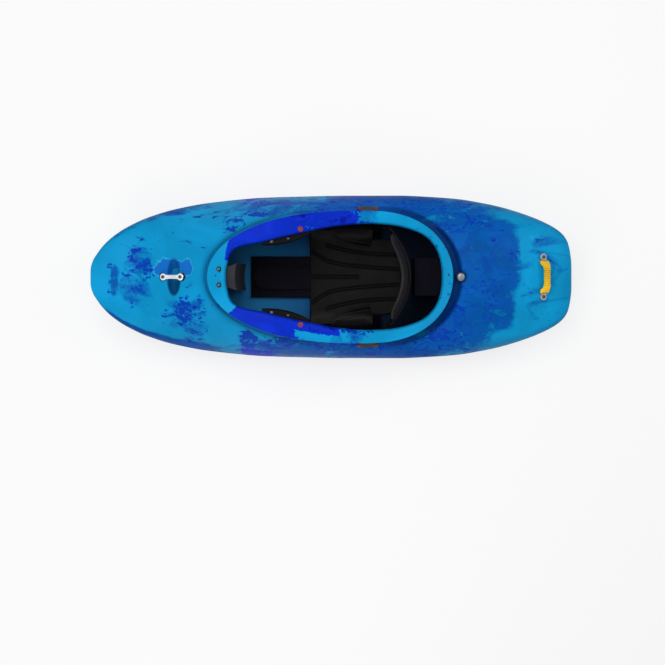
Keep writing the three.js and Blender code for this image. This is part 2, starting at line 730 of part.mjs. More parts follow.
// Ribbed grab handle at the stern, held between two end plates with pivot pins
function addSternHandle() {
  const frame = deckFrame(stationX(handleShare), 0);
  const plateBase = handleSeatRise + seatGap;
  const plateTop = plateBase + handlePlateThickness;
  const pinHeight = handleSeatRise + handlePinHeight;
  const foot = handleFeetSpacing / 2;
  const side = handleGripThickness / 2;
  const crest = handleGripRise - pinHeight;
  const arch = new THREE.Shape();
  arch.moveTo(-foot - side, -side * 3 / 4);
  arch.quadraticCurveTo(-foot - side, crest * 3 / 4, -foot / 2, crest);
  arch.lineTo(foot / 2, crest);
  arch.quadraticCurveTo(foot + side, crest * 3 / 4, foot + side, -side * 3 / 4);
  arch.lineTo(foot - side, -side * 3 / 4);
  arch.quadraticCurveTo(foot - side, crest / 2, foot / 2 - side, crest / 2);
  arch.lineTo(side - foot / 2, crest / 2);
  arch.quadraticCurveTo(side - foot, crest / 2, side - foot, -side * 3 / 4);
  const archOptions = { depth: handleGripWidth * 2, bevelEnabled: false, curveSegments: 8 };
  const archSolid = solid(new THREE.ExtrudeGeometry(arch, archOptions)
    .translate(0, 0, -handleGripWidth).rotateX(Math.PI / 2).rotateZ(Math.PI / 2));
  const fin = (inset) => {
    const half = handleGripWidth / 2 - inset;
    const profile = new THREE.Shape([
      new THREE.Vector2(-half, -side), new THREE.Vector2(-half, side / 2),
      new THREE.Vector2(half / 4, crest - inset), new THREE.Vector2(half, crest - inset),
      new THREE.Vector2(half, -side),
    ]);
    const options = { depth: handleFeetSpacing * 2, bevelEnabled: false };
    return solid(new THREE.ExtrudeGeometry(profile, options)
      .translate(0, 0, -handleFeetSpacing).rotateX(Math.PI / 2));
  };
  const plainGrip = archSolid.intersect(fin(0));
  const skin = plainGrip.subtract(fin(handleRibDepth));
  const pitch = foot / handleRibCount;
  const slots = Array.from({ length: handleRibCount }, (_, i) => solid(block(
    at(-handleGripWidth, (i - (handleRibCount - 1) / 2) * pitch - pitch / 4, -side),
    at(handleGripWidth, (i - (handleRibCount - 1) / 2) * pitch + pitch / 4, cutOverrun))));
  const bore = solid(crossPin(handlePinRadius + boltClearance, -handleFeetSpacing, handleFeetSpacing));
  const grip = slots.reduce((body, slot) => body.subtract(skin.intersect(slot)), plainGrip).subtract(bore);
  const lift = frame.clone().multiply(new THREE.Matrix4().makeTranslation(0, 0, pinHeight));
  addPiece('stern_handle_grip', placed(shape(grip), lift), finishes.yellowGrip);
  [['left', -1], ['right', 1]].forEach(([name, sign]) => {
    const plateY = (sign * handlePlateSpacing) / 2;
    const seat = post(handlePlateRadius, -hullWall, handleSeatRise, fineSides).translate(0, plateY, 0);
    const drill = post(deckBoltRadius + boltClearance, -hullWall / 2, plateTop + hullWall);
    const inner = foot + side + seatGap;
    const outer = handlePlateSpacing / 2 - deckBoltHeadRadius - seatGap;
    const low = at(-handlePinBoss, Math.min(sign * inner, sign * outer), plateBase);
    const high = at(handlePinBoss, Math.max(sign * inner, sign * outer), pinHeight + handlePinBoss);
    const pinFrom = foot - side + seatGap;
    const pin = crossPin(handlePinRadius, Math.min(sign * pinFrom, sign * outer),
      Math.max(sign * pinFrom, sign * outer)).translate(0, 0, pinHeight);
    const disc = post(handlePlateRadius, plateBase, plateTop, fineSides).translate(0, plateY, 0);
    const plate = solid(disc).add(solid(block(low, high))).add(solid(pin))
      .subtract(solid(drill.clone().translate(0, plateY, 0)));
    addPiece(`stern_handle_plate_${name}`, placed(shape(plate), frame), finishes.greyPlastic);
    hullSeats.push(placed(seat, frame));
    hullHoles.push(placed(drill.translate(0, plateY, 0), frame));
    const geometry = bolt(deckBoltRadius, deckBoltLength, deckBoltHeadRadius, deckBoltHeadHeight);
    addPiece(`stern_handle_bolt_${name}`, placed(geometry.translate(0, plateY, plateTop + seatGap), frame),
      finishes.steel);
  });
}

// Screw plug with its gasket in a flanged bush behind the rim
function addDrain() {
  const frame = new THREE.Matrix4().makeTranslation(stationX(drainShare), 0, drainBossTop);
  const flangeBase = seatGap;
  const flangeTop = flangeBase + drainFlangeThickness;
  hullSeats.push(placed(post(drainBossRadius, -drainBushDepth - hullWall, 0, fineSides), frame));
  hullHoles.push(placed(post(drainBossRadius, 0, cutOverrun, fineSides), frame));
  hullHoles.push(placed(post(drainBushRadius + boltClearance, -cutOverrun, cutOverrun, fineSides), frame));
  const bush = turned([[drainBoreRadius, flangeTop], [drainBoreRadius, -drainBushDepth],
    [drainBushRadius, -drainBushDepth], [drainBushRadius, flangeBase], [drainFlangeRadius, flangeBase],
    [drainFlangeRadius, flangeTop], [drainBoreRadius, flangeTop]], fineSides);
  addPiece('drain_fitting', placed(bush, frame), finishes.blackPlastic);
  const gasketBase = flangeTop + seatGap;
  const gasket = ring(drainBoreRadius, drainHeadRadius - drainFlangeThickness / 2, gasketBase,
    drainGasketThickness, fineSides);
  addPiece('drain_gasket', placed(gasket, frame), finishes.blackRubber);
  const headBase = gasketBase + drainGasketThickness + seatGap;
  const slotDepth = drainHeadHeight / 3;
  const plug = turned([[0, headBase - drainStemLength], [drainStemRadius * 7 / 8, headBase - drainStemLength],
    [drainStemRadius, headBase - drainStemLength * 3 / 4], [drainStemRadius, headBase],
    [drainHeadRadius, headBase], [drainHeadRadius, headBase + drainHeadHeight / 3],
    [drainHeadRadius * 3 / 4, headBase + drainHeadHeight * 4 / 5], [drainHeadRadius / 3, headBase
      + drainHeadHeight], [0, headBase + drainHeadHeight]], fineSides);
  const slot = block(at(-drainHeadRadius * 3 / 4, -slotDepth / 2, headBase + drainHeadHeight - slotDepth),
    at(drainHeadRadius * 3 / 4, slotDepth / 2, headBase + cutOverrun));
  addPiece('drain_plug', placed(shape(solid(plug).subtract(solid(slot))), frame), finishes.darkSteel);
}

// Space inside the moulding, a gap short of its walls
const insideSpace = innerSkin(hullWall + seatGap);

// Foam walls and the moulded bracket between them and the front of the rim
const bracketFrontX = rimFrontX + bracketSetback;
const bracketTop = rimTopAt(rimFrontX + rimBoltSetback) - bracketDrop;
function addPillars() {
  const half = frontPillarWidth / 2;
  const startX = stationX(frontPillarStartShare);
  const front = solid(block(at(startX, -half, 0), at(bracketFrontX - seatGap, half, deckPeakHeight)))
    .intersect(insideSpace).subtract(boltRoom());
  addPiece('front_pillar', front, finishes.darkFoam);
  const rearHalf = rearPillarWidth / 2;
  const endX = stationX(rearPillarEndShare);
  const low = solid(block(at(rearPillarFrontX, -rearHalf, 0), at(endX, rearHalf, rearPillarTop)));
  const drainX = stationX(drainShare);
  const drainRoom = solid(post(drainBossRadius + drainFlangeThickness, rearPillarTop - hullWall,
    rimPeakHeight, fineSides).translate(drainX, 0, 0));
  const tall = solid(block(at(rimRearX, -rearHalf, 0), at(endX, rearHalf, rimPeakHeight)));
  const rear = low.add(tall).intersect(insideSpace).subtract(drainRoom).subtract(boltRoom());
  addPiece('rear_pillar', rear, finishes.darkFoam);
}

// Room in the foam for the seats that the bar and the handle are bolted to
function boltRoom() {
  const barX = stationX(recessCentreShare);
  const places = [[barX - bowBarSpacing / 2, 0], [barX + bowBarSpacing / 2, 0],
    [stationX(handleShare), -handlePlateSpacing / 2], [stationX(handleShare), handlePlateSpacing / 2]];
  return places.map(([x, y]) => placed(post(bowSeatRadius + hullWall,
    -hullWall - deckBoltLength, cutOverrun), deckFrame(x, y))).reduce((sum, body) => sum.add(body));
}

// Frame on top of the rim plate
function rimFrame(x, y) {
  const step = hullWall;
  const along = at(step * 2, 0, rimTopAt(x + step) - rimTopAt(x - step));
  return frameAlong(at(x, y, rimTopAt(x) - rimLipChamfer / 2), along, up);
}

// Grey bracket at the front of the cockpit, with drawn-in sides, hung from two rim bolts
function addPillarBracket() {
  const half = bracketWidth / 2;
  const waist = half * bracketWaistShare;
  const endX = bracketFrontX + bracketLength;
  const middleX = (bracketFrontX + endX) / 2;
  const outline = new THREE.Shape();
  outline.moveTo(bracketFrontX, -half);
  outline.quadraticCurveTo(middleX, -waist * 2 + half, endX, -half);
  outline.quadraticCurveTo(endX - half / 4, 0, endX, half);
  outline.quadraticCurveTo(middleX, waist * 2 - half, bracketFrontX, half);
  const options = { depth: bracketTop - hullWall - seatGap, bevelEnabled: false, curveSegments: 8 };
  const column = solid(new THREE.ExtrudeGeometry(outline, options).translate(0, 0, hullWall + seatGap))
    .intersect(insideSpace.add(prism(
      rimOuterEdge.map((point, station) => rimPoint(station, rimOverhang + neckWall + seatGap)),
      deckPeakHeight / 2, deckPeakHeight)));
  const x = rimFrontX + rimBoltSetback;
  const washerTop = rimWasherThickness + seatGap;
  const reach = rimTopAt(x) - bracketTop;
  let body = column;
  [['left', -1], ['right', 1]].forEach(([name, sign]) => {
    const frame = rimFrame(x, (sign * rimBoltSpacing) / 2);
    const boss = post(bracketBossRadius, -reach - hullWall * 2, -rimPlateDepth - seatGap);
    const drill = placed(post(rimBoltRadius + boltClearance, -reach - hullWall, cutOverrun), frame);
    body = body.add(placed(boss, frame)).subtract(drill);
    hullHoles.push(drill);
    hullHoles.push(placed(post(rimWasherRadius + boltClearance, 0, rimWasherThickness * 4), frame));
    addPiece(`rim_washer_${name}`, placed(ring(rimBoltRadius + boltClearance, rimWasherRadius, seatGap,
      rimWasherThickness), frame), finishes.blackRubber);
    const geometry = bolt(rimBoltRadius, reach + rimWasherThickness, rimBoltHeadRadius, rimBoltHeadHeight);
    addPiece(`rim_bolt_${name}`, placed(geometry.translate(0, 0, washerTop + seatGap), frame),
      finishes.darkSteel);
  });
  addPiece('pillar_bracket', body, finishes.greyPlastic);
}

// Thigh hooks under the rim, each with a pad, a bolt through the rim and a red washer
function addThighHooks() {
  const ends = [hookFrontX, hookRearX].map((x) => at(x, openingReachAt(x), rimTopAt(x)));
  const along = ends[1].clone().sub(ends[0]);
  const travelRoom = rimRollDepth + hookThickness + seatGap * 6;
  [['left', -1], ['right', 1]].forEach(([name, sign]) => {
    const way = at(along.x, along.y * sign, along.z).normalize();
    const boltPlace = at(thighBoltX, sign * (openingReachAt(thighBoltX) + thighBoltSetback), 0);
    const share = (thighBoltX - ends[0].x) / along.x;
    boltPlace.z = ends[0].z + along.z * share - travelRoom;
    const frame = frameAlong(boltPlace, way, up);
    const rimLevel = rimTopAt(thighBoltX) - boltPlace.z - rimLipChamfer;
    const startReach = (hookFrontX - thighBoltX) / way.x;
    const endReach = (hookRearX - thighBoltX) / way.x;
    const rings = Array.from({ length: hookStationCount }, (_, i) => {
      const part = i / (hookStationCount - 1);
      const swell = Math.sin(Math.PI * THREE.MathUtils.lerp(1 / 8, 7 / 8, part)) ** (1 / 2);
      const reach = THREE.MathUtils.lerp(startReach, endReach, part);
      const inner = -sign * hookInreach * swell;
      const outer = sign * hookOutreach * swell;
      const drop = (hookDroop / 2) * swell;
      return [at(reach, outer, 0), at(reach, inner * hookFlatShare, 0), at(reach, inner, -drop / 2),
        at(reach, inner, -drop / 2 - hookThickness), at(reach, inner * hookFlatShare, -hookThickness),
        at(reach, outer, -hookThickness)];
    });
    const slotLength = hookTravel * 2 + (rimBoltRadius + boltClearance) * 2;
    const slot = stadium(slotLength, (rimBoltRadius + boltClearance) * 2, -cutOverrun, cutOverrun);
    const hook = solid(loft(rings)).subtract(solid(slot));
    addPiece(`thigh_hook_${name}`, placed(shape(hook), frame), finishes.blackPlastic);
    const nutRadius = rimBoltHeadRadius;
    const padOuter = -(nutRadius + boltClearance * 4);
    const padInner = -hookInreach * 5 / 8;
    const padLength = endReach - startReach - thighPadMargin;
    const padMiddle = (endReach + startReach) / 2;
    const padRings = Array.from({ length: hookStationCount }, (_, i) => {
      const part = i / (hookStationCount - 1);
      const swell = THREE.MathUtils.lerp(thighPadEndFullness, 1, Math.sin(Math.PI * part));
      const top = -hookThickness - seatGap;
      const low = top - thighPadThickness * swell;
      const reach = padMiddle + (part - 1 / 2) * padLength;
      const middle = (padOuter + padInner) / 2;
      const half = ((padOuter - padInner) / 2) * swell;
      return [at(reach, sign * (middle + half), top), at(reach, sign * (middle - half), top),
        at(reach, sign * (middle - half), (top + low) / 2), at(reach, sign * (middle - half / 2), low),
        at(reach, sign * (middle + half / 2), low), at(reach, sign * (middle + half), (top + low) / 2)];
    });
    addPiece(`thigh_pad_${name}`, placed(shape(solid(loft(padRings))), frame), finishes.blackFabric);
    hullSeats.push(placed(post(thighBossRadius, seatGap, rimLevel - rimPlateDepth / 2), frame));
    hullHoles.push(placed(post(rimBoltRadius + boltClearance, -cutOverrun, cutOverrun), frame));
    hullHoles.push(placed(post(thighWasherRadius + boltClearance, rimLevel, rimLevel
      + cutOverrun / 4), frame));
    addPiece(`thigh_washer_${name}`, placed(ring(rimBoltRadius + boltClearance, thighWasherRadius,
      rimLevel + seatGap, rimWasherThickness), frame), finishes.redWasher);
    const headBase = rimLevel + rimWasherThickness + seatGap * 2;
    const nutHigh = -headBase - hookThickness - seatGap;
    const nut = { radius: nutRadius, high: nutHigh, low: nutHigh - rimBoltHeadHeight };
    const geometry = bolt(rimBoltRadius, headBase + hookThickness + rimBoltHeadHeight * 2,
      rimBoltHeadRadius, rimBoltHeadHeight, nut);
    addPiece(`thigh_bolt_${name}`, placed(geometry.translate(0, 0, headBase), frame), finishes.darkSteel);
  });
}

// Bolted plates outside, ratchets inside and the ladder straps that pull the backband
function addRatchets() {
  const innerFace = -(hullWall + sideSeatRise);
  const baseHigh = innerFace - seatGap;
  const baseLow = baseHigh - ratchetBaseThickness;
  const pinDepth = baseLow - ratchetBarrelRadius - seatGap * 6;
  const bodyLow = pinDepth - ratchetBarrelRadius;
  const leverHigh = bodyLow - seatGap * 3;
  const boltSide = deckBoltRadius + boltClearance;
  [['left', -1], ['right', 1]].forEach(([name, sign]) => {
    const frame = deckFrame(sidePlateX, sign * sidePlateReach);
    const plateBase = sideSeatRise + seatGap;
    const plateTop = plateBase + sidePlateThickness;
    hullSeats.push(placed(stadium(sidePlateLength + hullWall, sidePlateWidth + hullWall, innerFace,
      sideSeatRise), frame));
    let plate = solid(stadium(sidePlateLength, sidePlateWidth, plateBase, plateTop));
    let body = solid(stadium(sidePlateLength, sidePlateWidth, baseLow, baseHigh))
      .add(solid(block(at(-ratchetPinReach, -ratchetWidth / 2, bodyLow),
        at(ratchetBodyReach, ratchetWidth / 2, baseHigh - seatGap))))
      .add(solid(block(at(-ratchetPinReach - ratchetBarrelRadius, -ratchetWidth / 2, pinDepth),
        at(-ratchetPinReach + seatGap, ratchetWidth / 2, baseHigh - seatGap))))
      .add(solid(crossPin(ratchetBarrelRadius, -ratchetWidth / 2, ratchetWidth / 2)
        .translate(-ratchetPinReach, 0, pinDepth)))
      .subtract(solid(crossPin(ratchetPinRadius + boltClearance, -ratchetWidth, ratchetWidth)
        .translate(-ratchetPinReach, 0, pinDepth)));
    [['front', -1], ['rear', 1]].forEach(([end, way]) => {
      const along = (way * sideBoltSpacing) / 2;
      const drill = post(boltSide, baseLow + seatGap * 3, cutOverrun).translate(along, 0, 0);
      plate = plate.subtract(solid(drill));
      body = body.subtract(solid(drill));
      hullHoles.push(placed(post(boltSide, innerFace - hullWall, hullWall).translate(along, 0, 0), frame));
      const washer = ring(boltSide, sideWasherRadius, plateTop + seatGap, sideWasherThickness);
      addPiece(`side_washer_${name}_${end}`, placed(washer.translate(along, 0, 0), frame),
        finishes.redWasher);
      const headBase = plateTop + sideWasherThickness + seatGap * 2;
      const geometry = bolt(deckBoltRadius, headBase - baseLow - seatGap * 4, deckBoltHeadRadius,
        deckBoltHeadHeight);
      addPiece(`side_bolt_${name}_${end}`, placed(geometry.translate(along, 0, headBase), frame),
        finishes.darkSteel);
    });
    addPiece(`side_plate_${name}`, placed(shape(plate), frame), finishes.blackPlastic);
    addPiece(`ratchet_body_${name}`, placed(shape(body), frame), finishes.blackPlastic);
    const earInner = ratchetWidth / 2 + boltClearance;
    const earOuter = earInner + ratchetEarThickness;
    const ear = ratchetBarrelRadius * 3 / 4;
    let lever = solid(block(at(-ratchetPinReach, -earOuter, leverHigh - ratchetLeverThickness),
      at(ratchetLeverLength - ratchetPinReach, earOuter, leverHigh)))
      .add(solid(crossPin(ratchetPinRadius, -earOuter, earOuter).translate(-ratchetPinReach, 0, pinDepth)));
    [-1, 1].forEach((side) => {
      lever = lever.add(solid(block(
        at(-ratchetPinReach - ear, Math.min(side * earInner, side * earOuter),
          leverHigh - ratchetLeverThickness),
        at(-ratchetPinReach + ear, Math.max(side * earInner, side * earOuter), pinDepth + ear))));
    });
    addPiece(`ratchet_lever_${name}`, placed(shape(lever), frame), finishes.greyPlastic);
    addLadderStrap(name, sign, frame, pinDepth);
  });
}

// Strap from a ratchet to its end of the backband, with the pivot stud in one piece
function addLadderStrap(name, sign, frame, depth) {
  const start = at(ratchetBodyReach + seatGap, 0, depth).applyMatrix4(frame);
  const strapY = sign * (backbandReach + seatGap + ladderThickness / 2);
  const end = at(backbandEndX - ladderWidth / 3, strapY, backbandPivotHeight);
  const startWide = new THREE.Vector3().setFromMatrixColumn(frame, 1);
  if (startWide.z < 0) startWide.negate();
  const startThrough = new THREE.Vector3().setFromMatrixColumn(frame, 0).cross(startWide);
  const middle = start.clone().lerp(end, 1 / 2).setY(strapY + (start.y - strapY) / 4);
  const path = new THREE.QuadraticBezierCurve3(start, middle, end);
  const rings = Array.from({ length: ladderStationCount }, (_, i) => {
    const part = i / (ladderStationCount - 1);
    const place = path.getPoint(part);
    const wide = startWide.clone().lerp(up, part).normalize().multiplyScalar(ladderWidth / 2);
    const through = part > 0 ? path.getTangent(part).cross(wide) : startThrough.clone();
    const thick = through.normalize().multiplyScalar(ladderThickness / 2);
    return [[1, 1], [-1, 1], [-1, -1], [1, -1]].map(([over, behind]) => place.clone()
      .addScaledVector(wide, over).addScaledVector(thick, behind));
  });
  const eye = crossPin(ladderWidth / 2, strapY - ladderThickness / 2, strapY + ladderThickness / 2, fineSides)
    .translate(backbandEndX, 0, backbandPivotHeight);
  const studEnd = sign * (backbandReach - backbandShellThickness - seatGap);
  const stud = crossPin(backbandStudRadius, Math.min(studEnd, strapY), Math.max(studEnd, strapY))
    .translate(backbandEndX, 0, backbandPivotHeight);
  addPiece(`ladder_strap_${name}`, solid(loft(rings)).add(solid(eye)).add(solid(stud)),
    finishes.greyPlastic);
}

// Point on the seat's surface: along from its front, across from -1 to 1, lifted off the pan's underside
const seatStep = 1 / (seatSectionShares.length - 1);
const seatOut = smoothLine(seatSectionShares.map(([out], i) => [i * seatStep, out]), 1, seatBreadth / 2);
const seatRise = smoothLine(seatSectionShares.map(([, rise], i) => [i * seatStep, rise]), 1, seatWingHeight);
const seatWing = smoothLine(seatWingShares, 1, 1);
function seatNode(along, node, lift) {
  const place = (v) => new THREE.Vector2(Math.sign(v) * seatOut(Math.abs(v)),
    seatBaseHeight + seatRise(Math.abs(v)) * seatWing(along));
  const across = node / seatNodeCount;
  const here = place(across);
  const way = place(Math.min(across + seatStep / 4, 1)).sub(place(Math.max(across - seatStep / 4, -1)));
  way.normalize();
  return at(THREE.MathUtils.lerp(seatFrontX, seatRearX, along), here.x - way.y * lift, here.y + way.x * lift);
}
function seatPoint(along, across, lift) {
  const spot = across * seatNodeCount;
  const node = Math.min(Math.floor(spot), seatNodeCount - 1);
  return seatNode(along, node, lift).lerp(seatNode(along, node + 1, lift), spot - node);
}

// Moulded seat with its wings, front tray and runners
function addSeat() {
  const rings = Array.from({ length: seatStationCount + 1 }, (_, i) => {
    const line = (lift) => Array.from({ length: seatNodeCount * 2 + 1 }, (_, k) => seatNode(
      i / seatStationCount, k - seatNodeCount, lift));
    return [...line(0), ...line(seatPanThickness).reverse()];
  });
  const trayFrontX = bracketFrontX + bracketLength + seatTravel + seatGap;
  const half = trayWidth / 2;
  const floorLow = seatBaseHeight + seatPanThickness / 8;
  const floorTop = seatBaseHeight + (seatPanThickness * 7) / 8;
  const wallTop = seatBaseHeight + trayWallHeight;
  const railTop = wallTop - trayRailWidth / 2;
  const middle = (floorLow + floorTop) / 2;
  const wallReach = half - (seatPanThickness * 5) / 8;
  const wall = (side) => solid(block(
    at(trayFrontX + seatGap, side * wallReach - seatPanThickness / 2, middle),
    at(seatFrontX - seatGap, side * wallReach + seatPanThickness / 2, wallTop)));
  const runner = (side) => solid(block(
    at(seatRunnerFrontX, side * seatRunnerReach - seatRunnerWidth / 2, hullWall + seatGap),
    at(seatRunnerRearX, side * seatRunnerReach + seatRunnerWidth / 2, middle)));
  const outer = trayRailReach + trayRailWidth / 2;
  const inner = outer - trayRailWidth;
  const archX = trayFrontX + outer + trayRailWidth;
  const rails = new THREE.Shape();
  rails.moveTo(seatFrontX - seatGap * 2, -outer);
  rails.lineTo(seatFrontX - seatGap * 2, -inner);
  rails.lineTo(archX, -inner);
  rails.absarc(archX, 0, inner, Math.PI * 3 / 2, Math.PI / 2, true);
  rails.lineTo(seatFrontX - seatGap * 2, inner);
  rails.lineTo(seatFrontX - seatGap * 2, outer);
  rails.lineTo(archX, outer);
  rails.absarc(archX, 0, outer, Math.PI / 2, Math.PI * 3 / 2, false);
  const options = { depth: railTop - middle, bevelEnabled: false, curveSegments: roundSides };
  const railArch = new THREE.ExtrudeGeometry(rails, options).translate(0, 0, middle);
  let seat = solid(loft(rings, true))
    .add(solid(block(at(trayFrontX, -half, floorLow), at(seatFrontX + seatPanThickness, half, floorTop))))
    .add(solid(railArch));
  [-1, 1].forEach((side) => {
    seat = seat.add(wall(side)).add(runner(side));
  });
  addPiece('seat_pan', seat, finishes.blackPlastic);
}

// Stitched channels in the seat pad: shares of the seat's length, then of its half breadth
const innerSeamShares = [[0, 0.5], [0.2, 0.3], [0.5, 0.21], [1, 0.15]];
const padEdgeShares = [[0, 0.86], [0.3, 0.82], [0.44, 0.5], [0.65, 0.32], [1, 0.2]];
const innerSeam = smoothLine(innerSeamShares, 1, seatBreadth / 2);
const padEdge = smoothLine(padEdgeShares, 1, 1);

// Closed pad between two surfaces given over a grid of shares
function padSolid(columns, rows, lower, upper) {
  const rings = Array.from({ length: columns + 1 }, (_, i) => {
    const row = (surface) => Array.from({ length: rows + 1 }, (_, k) => surface(i / columns, k / rows));
    return [...row(lower), ...row(upper).reverse()];
  });
  return solid(loft(rings, true));
}

// Fullness of a pad: drawn in at its edges, swelling to one inside
function swell(part, rounding) {
  const edge = Math.min(part, 1 - part) / rounding;
  return edge >= 1 ? 1 : Math.sqrt(1 - (1 - edge) ** 2);
}

// Stitched seat pad and the two hip pads on the seat's wings
function addSeatPads() {
  const base = seatPanThickness + seatGap;
  const hipBase = base + seatGap;
  const channel = (distance) => padChannelDepth * Math.exp(-((distance / padChannelWidth) ** 2));
  const across = (along, part) => (part * 2 - 1) * padEdge(along);
  const padTop = (along, part) => {
    const flat = seatPoint(along, across(along, part), base);
    const centre = along < centreSeamEndShare ? channel(flat.y) : 0;
    const sunk = centre + channel(Math.abs(flat.y) - innerSeam(along));
    const fullness = swell(along, padRounding) * swell(part, padRounding);
    const full = seatPadThickness * THREE.MathUtils.lerp(padEdgeFullness, 1, fullness);
    return seatPoint(along, across(along, part), base + Math.max(full - sunk, padChannelDepth));
  };
  const padUnder = (along, part) => seatPoint(along, across(along, part), base);
  const cushion = padSolid(seatStationCount, seatPadColumnCount, padUnder, padTop);
  addPiece('seat_pad', cushion, finishes.blackFabric);
  [['left', -1], ['right', 1]].forEach(([name, sign]) => {
    const alongHip = (part) => THREE.MathUtils.lerp(hipStartShare, hipEndShare, part);
    const acrossHip = (part, over) => sign * THREE.MathUtils.lerp(
      padEdge(alongHip(part)) + hipInnerMargin, hipOuterShare, over);
    const lower = (part, over) => seatPoint(alongHip(part), acrossHip(part, over), hipBase);
    const upper = (part, over) => seatPoint(alongHip(part), acrossHip(part, over),
      hipBase + hipPadThickness * THREE.MathUtils.lerp(padEdgeFullness, 1, swell(part, hipRounding)
        * swell(over, hipRounding)));
    addPiece(`hip_pad_${name}`, padSolid(6, 8, lower, upper), finishes.blackFabric);
  });
}

// Point on the backband: across from -1 to 1, height share up it, and how far in front of its shell
function backbandPoint(across, rise, front) {
  const sweep = backbandCentreX - backbandEndX;
  const top = THREE.MathUtils.lerp(backbandTop, backbandEndTop, across * across);
  const low = THREE.MathUtils.lerp(backbandLow, backbandPivotHeight - backbandTabHeight / 2, across ** 4);
  const turn = Math.atan2(2 * sweep * across, backbandReach);
  const x = backbandCentreX - sweep * across * across + backbandLean * (rise - 1 / 2);
  return at(x - Math.cos(turn) * front, backbandReach * across - Math.sin(turn) * front,
    THREE.MathUtils.lerp(low, top, rise));
}

// Backband: a thin shell with end tabs and a crowned pad on its front
function addBackband() {
  const rings = Array.from({ length: backbandStationCount }, (_, i) => {
    const across = (i / (backbandStationCount - 1)) * 2 - 1;
    const back = -backbandShellThickness;
    return [backbandPoint(across, 0, 0), backbandPoint(across, 1, 0), backbandPoint(across, 1, back),
      backbandPoint(across, 0, back)];
  });
  const limit = block(at(0, -backbandReach, 0), at(hullLength, backbandReach, hullLength));
  let shell = solid(loft(rings)).intersect(solid(limit));
  [-1, 1].forEach((sign) => {
    const inner = sign * (backbandReach - backbandShellThickness);
    const outer = sign * backbandReach;
    shell = shell.add(solid(block(
      at(backbandEndX - backbandTabLength / 2, Math.min(inner, outer),
        backbandPivotHeight - backbandTabHeight / 2),
      at(backbandEndX + backbandTabLength / 2, Math.max(inner, outer),
        backbandPivotHeight + backbandTabHeight / 2))));
  });
  const bore = crossPin(backbandStudRadius + boltClearance, -hullBreadth, hullBreadth)
    .translate(backbandEndX, 0, backbandPivotHeight);
  addPiece('backband_shell', shell.subtract(solid(bore)), finishes.blackPlastic);
  const columns = backbandStationCount - 3;
  const reach = columns / (backbandStationCount - 1);
  const padRise = (rise) => THREE.MathUtils.lerp(backbandPadLowShare, backbandPadTopShare, rise);
  const lower = (part, rise) => backbandPoint((part * 2 - 1) * reach, padRise(rise), seatGap);
  const upper = (part, rise) => backbandPoint((part * 2 - 1) * reach, padRise(rise), seatGap
    + backbandPadThickness * THREE.MathUtils.lerp(backbandPadEdgeFullness, 1, swell(part, 1 / 6)
      * swell(rise, 1 / 4)));
  addPiece('backband_pad', padSolid(columns, 6, lower, upper), finishes.blackFabric);
}

// Footrest plates that slide on rails bolted to the sides of the front pillar
function addFootrest() {
  const railInner = frontPillarWidth / 2 + seatGap;
  const railOuter = railInner + footRailDepth;
  const railLow = footRailCentre - footRailHeight / 2;
  const slotHalf = footRailHeight / 5;
  const slotInner = railInner + footRailDepth / 3;
  const side = (sign, from, to, xs, zs) => solid(block(
    at(xs[0], Math.min(sign * from, sign * to), zs[0]), at(xs[1], Math.max(sign * from, sign * to), zs[1])));
  [['left', -1], ['right', 1]].forEach(([name, sign]) => {
    const railXs = [footRailStartX, footRailStartX + footRailLength];
    const slotXs = [railXs[0] + footRailDepth, railXs[1] + footRailDepth];
    const rail = side(sign, railInner, railOuter, railXs, [railLow, railLow + footRailHeight])
      .subtract(side(sign, slotInner, railOuter + footRailDepth, slotXs,
        [footRailCentre - slotHalf, footRailCentre + slotHalf]));
    addPiece(`foot_rail_${name}`, rail, finishes.aluminium);
    const shoe = footRailHeight / 2 + footPlateThickness / 2;
    const plateInner = railOuter + seatGap + footPlateThickness;
    const plateXs = [footPlateX - footPlateThickness, footPlateX];
    const shoeXs = [footPlateX - footRailHeight, footPlateX + footRailHeight / 2];
    const plateLow = footRailCentre - footPlateHeight / 2;
    let plate = side(sign, plateInner - footPlateThickness, plateInner + footPlateWidth, plateXs,
      [plateLow, plateLow + footPlateHeight])
      .add(side(sign, railOuter + seatGap, plateInner, shoeXs,
        [footRailCentre - shoe, footRailCentre + shoe]))
      .add(side(sign, slotInner + seatGap, plateInner, shoeXs,
        [footRailCentre - slotHalf + seatGap, footRailCentre + slotHalf - seatGap]));
    for (let i = 0; i < footPlateRibCount; i += 1) {
      const ribCentre = plateLow + (footPlateHeight * (i + 1 / 2)) / footPlateRibCount;
      plate = plate.add(side(sign, plateInner + footPlateThickness, plateInner + footPlateWidth
        - footPlateThickness, [footPlateX - seatGap, footPlateX + footPlateThickness],
      [ribCentre - footPlateThickness / 2, ribCentre + footPlateThickness / 2]));
    }
    addPiece(`footplate_${name}`, plate, finishes.blackPlastic);
  });
}

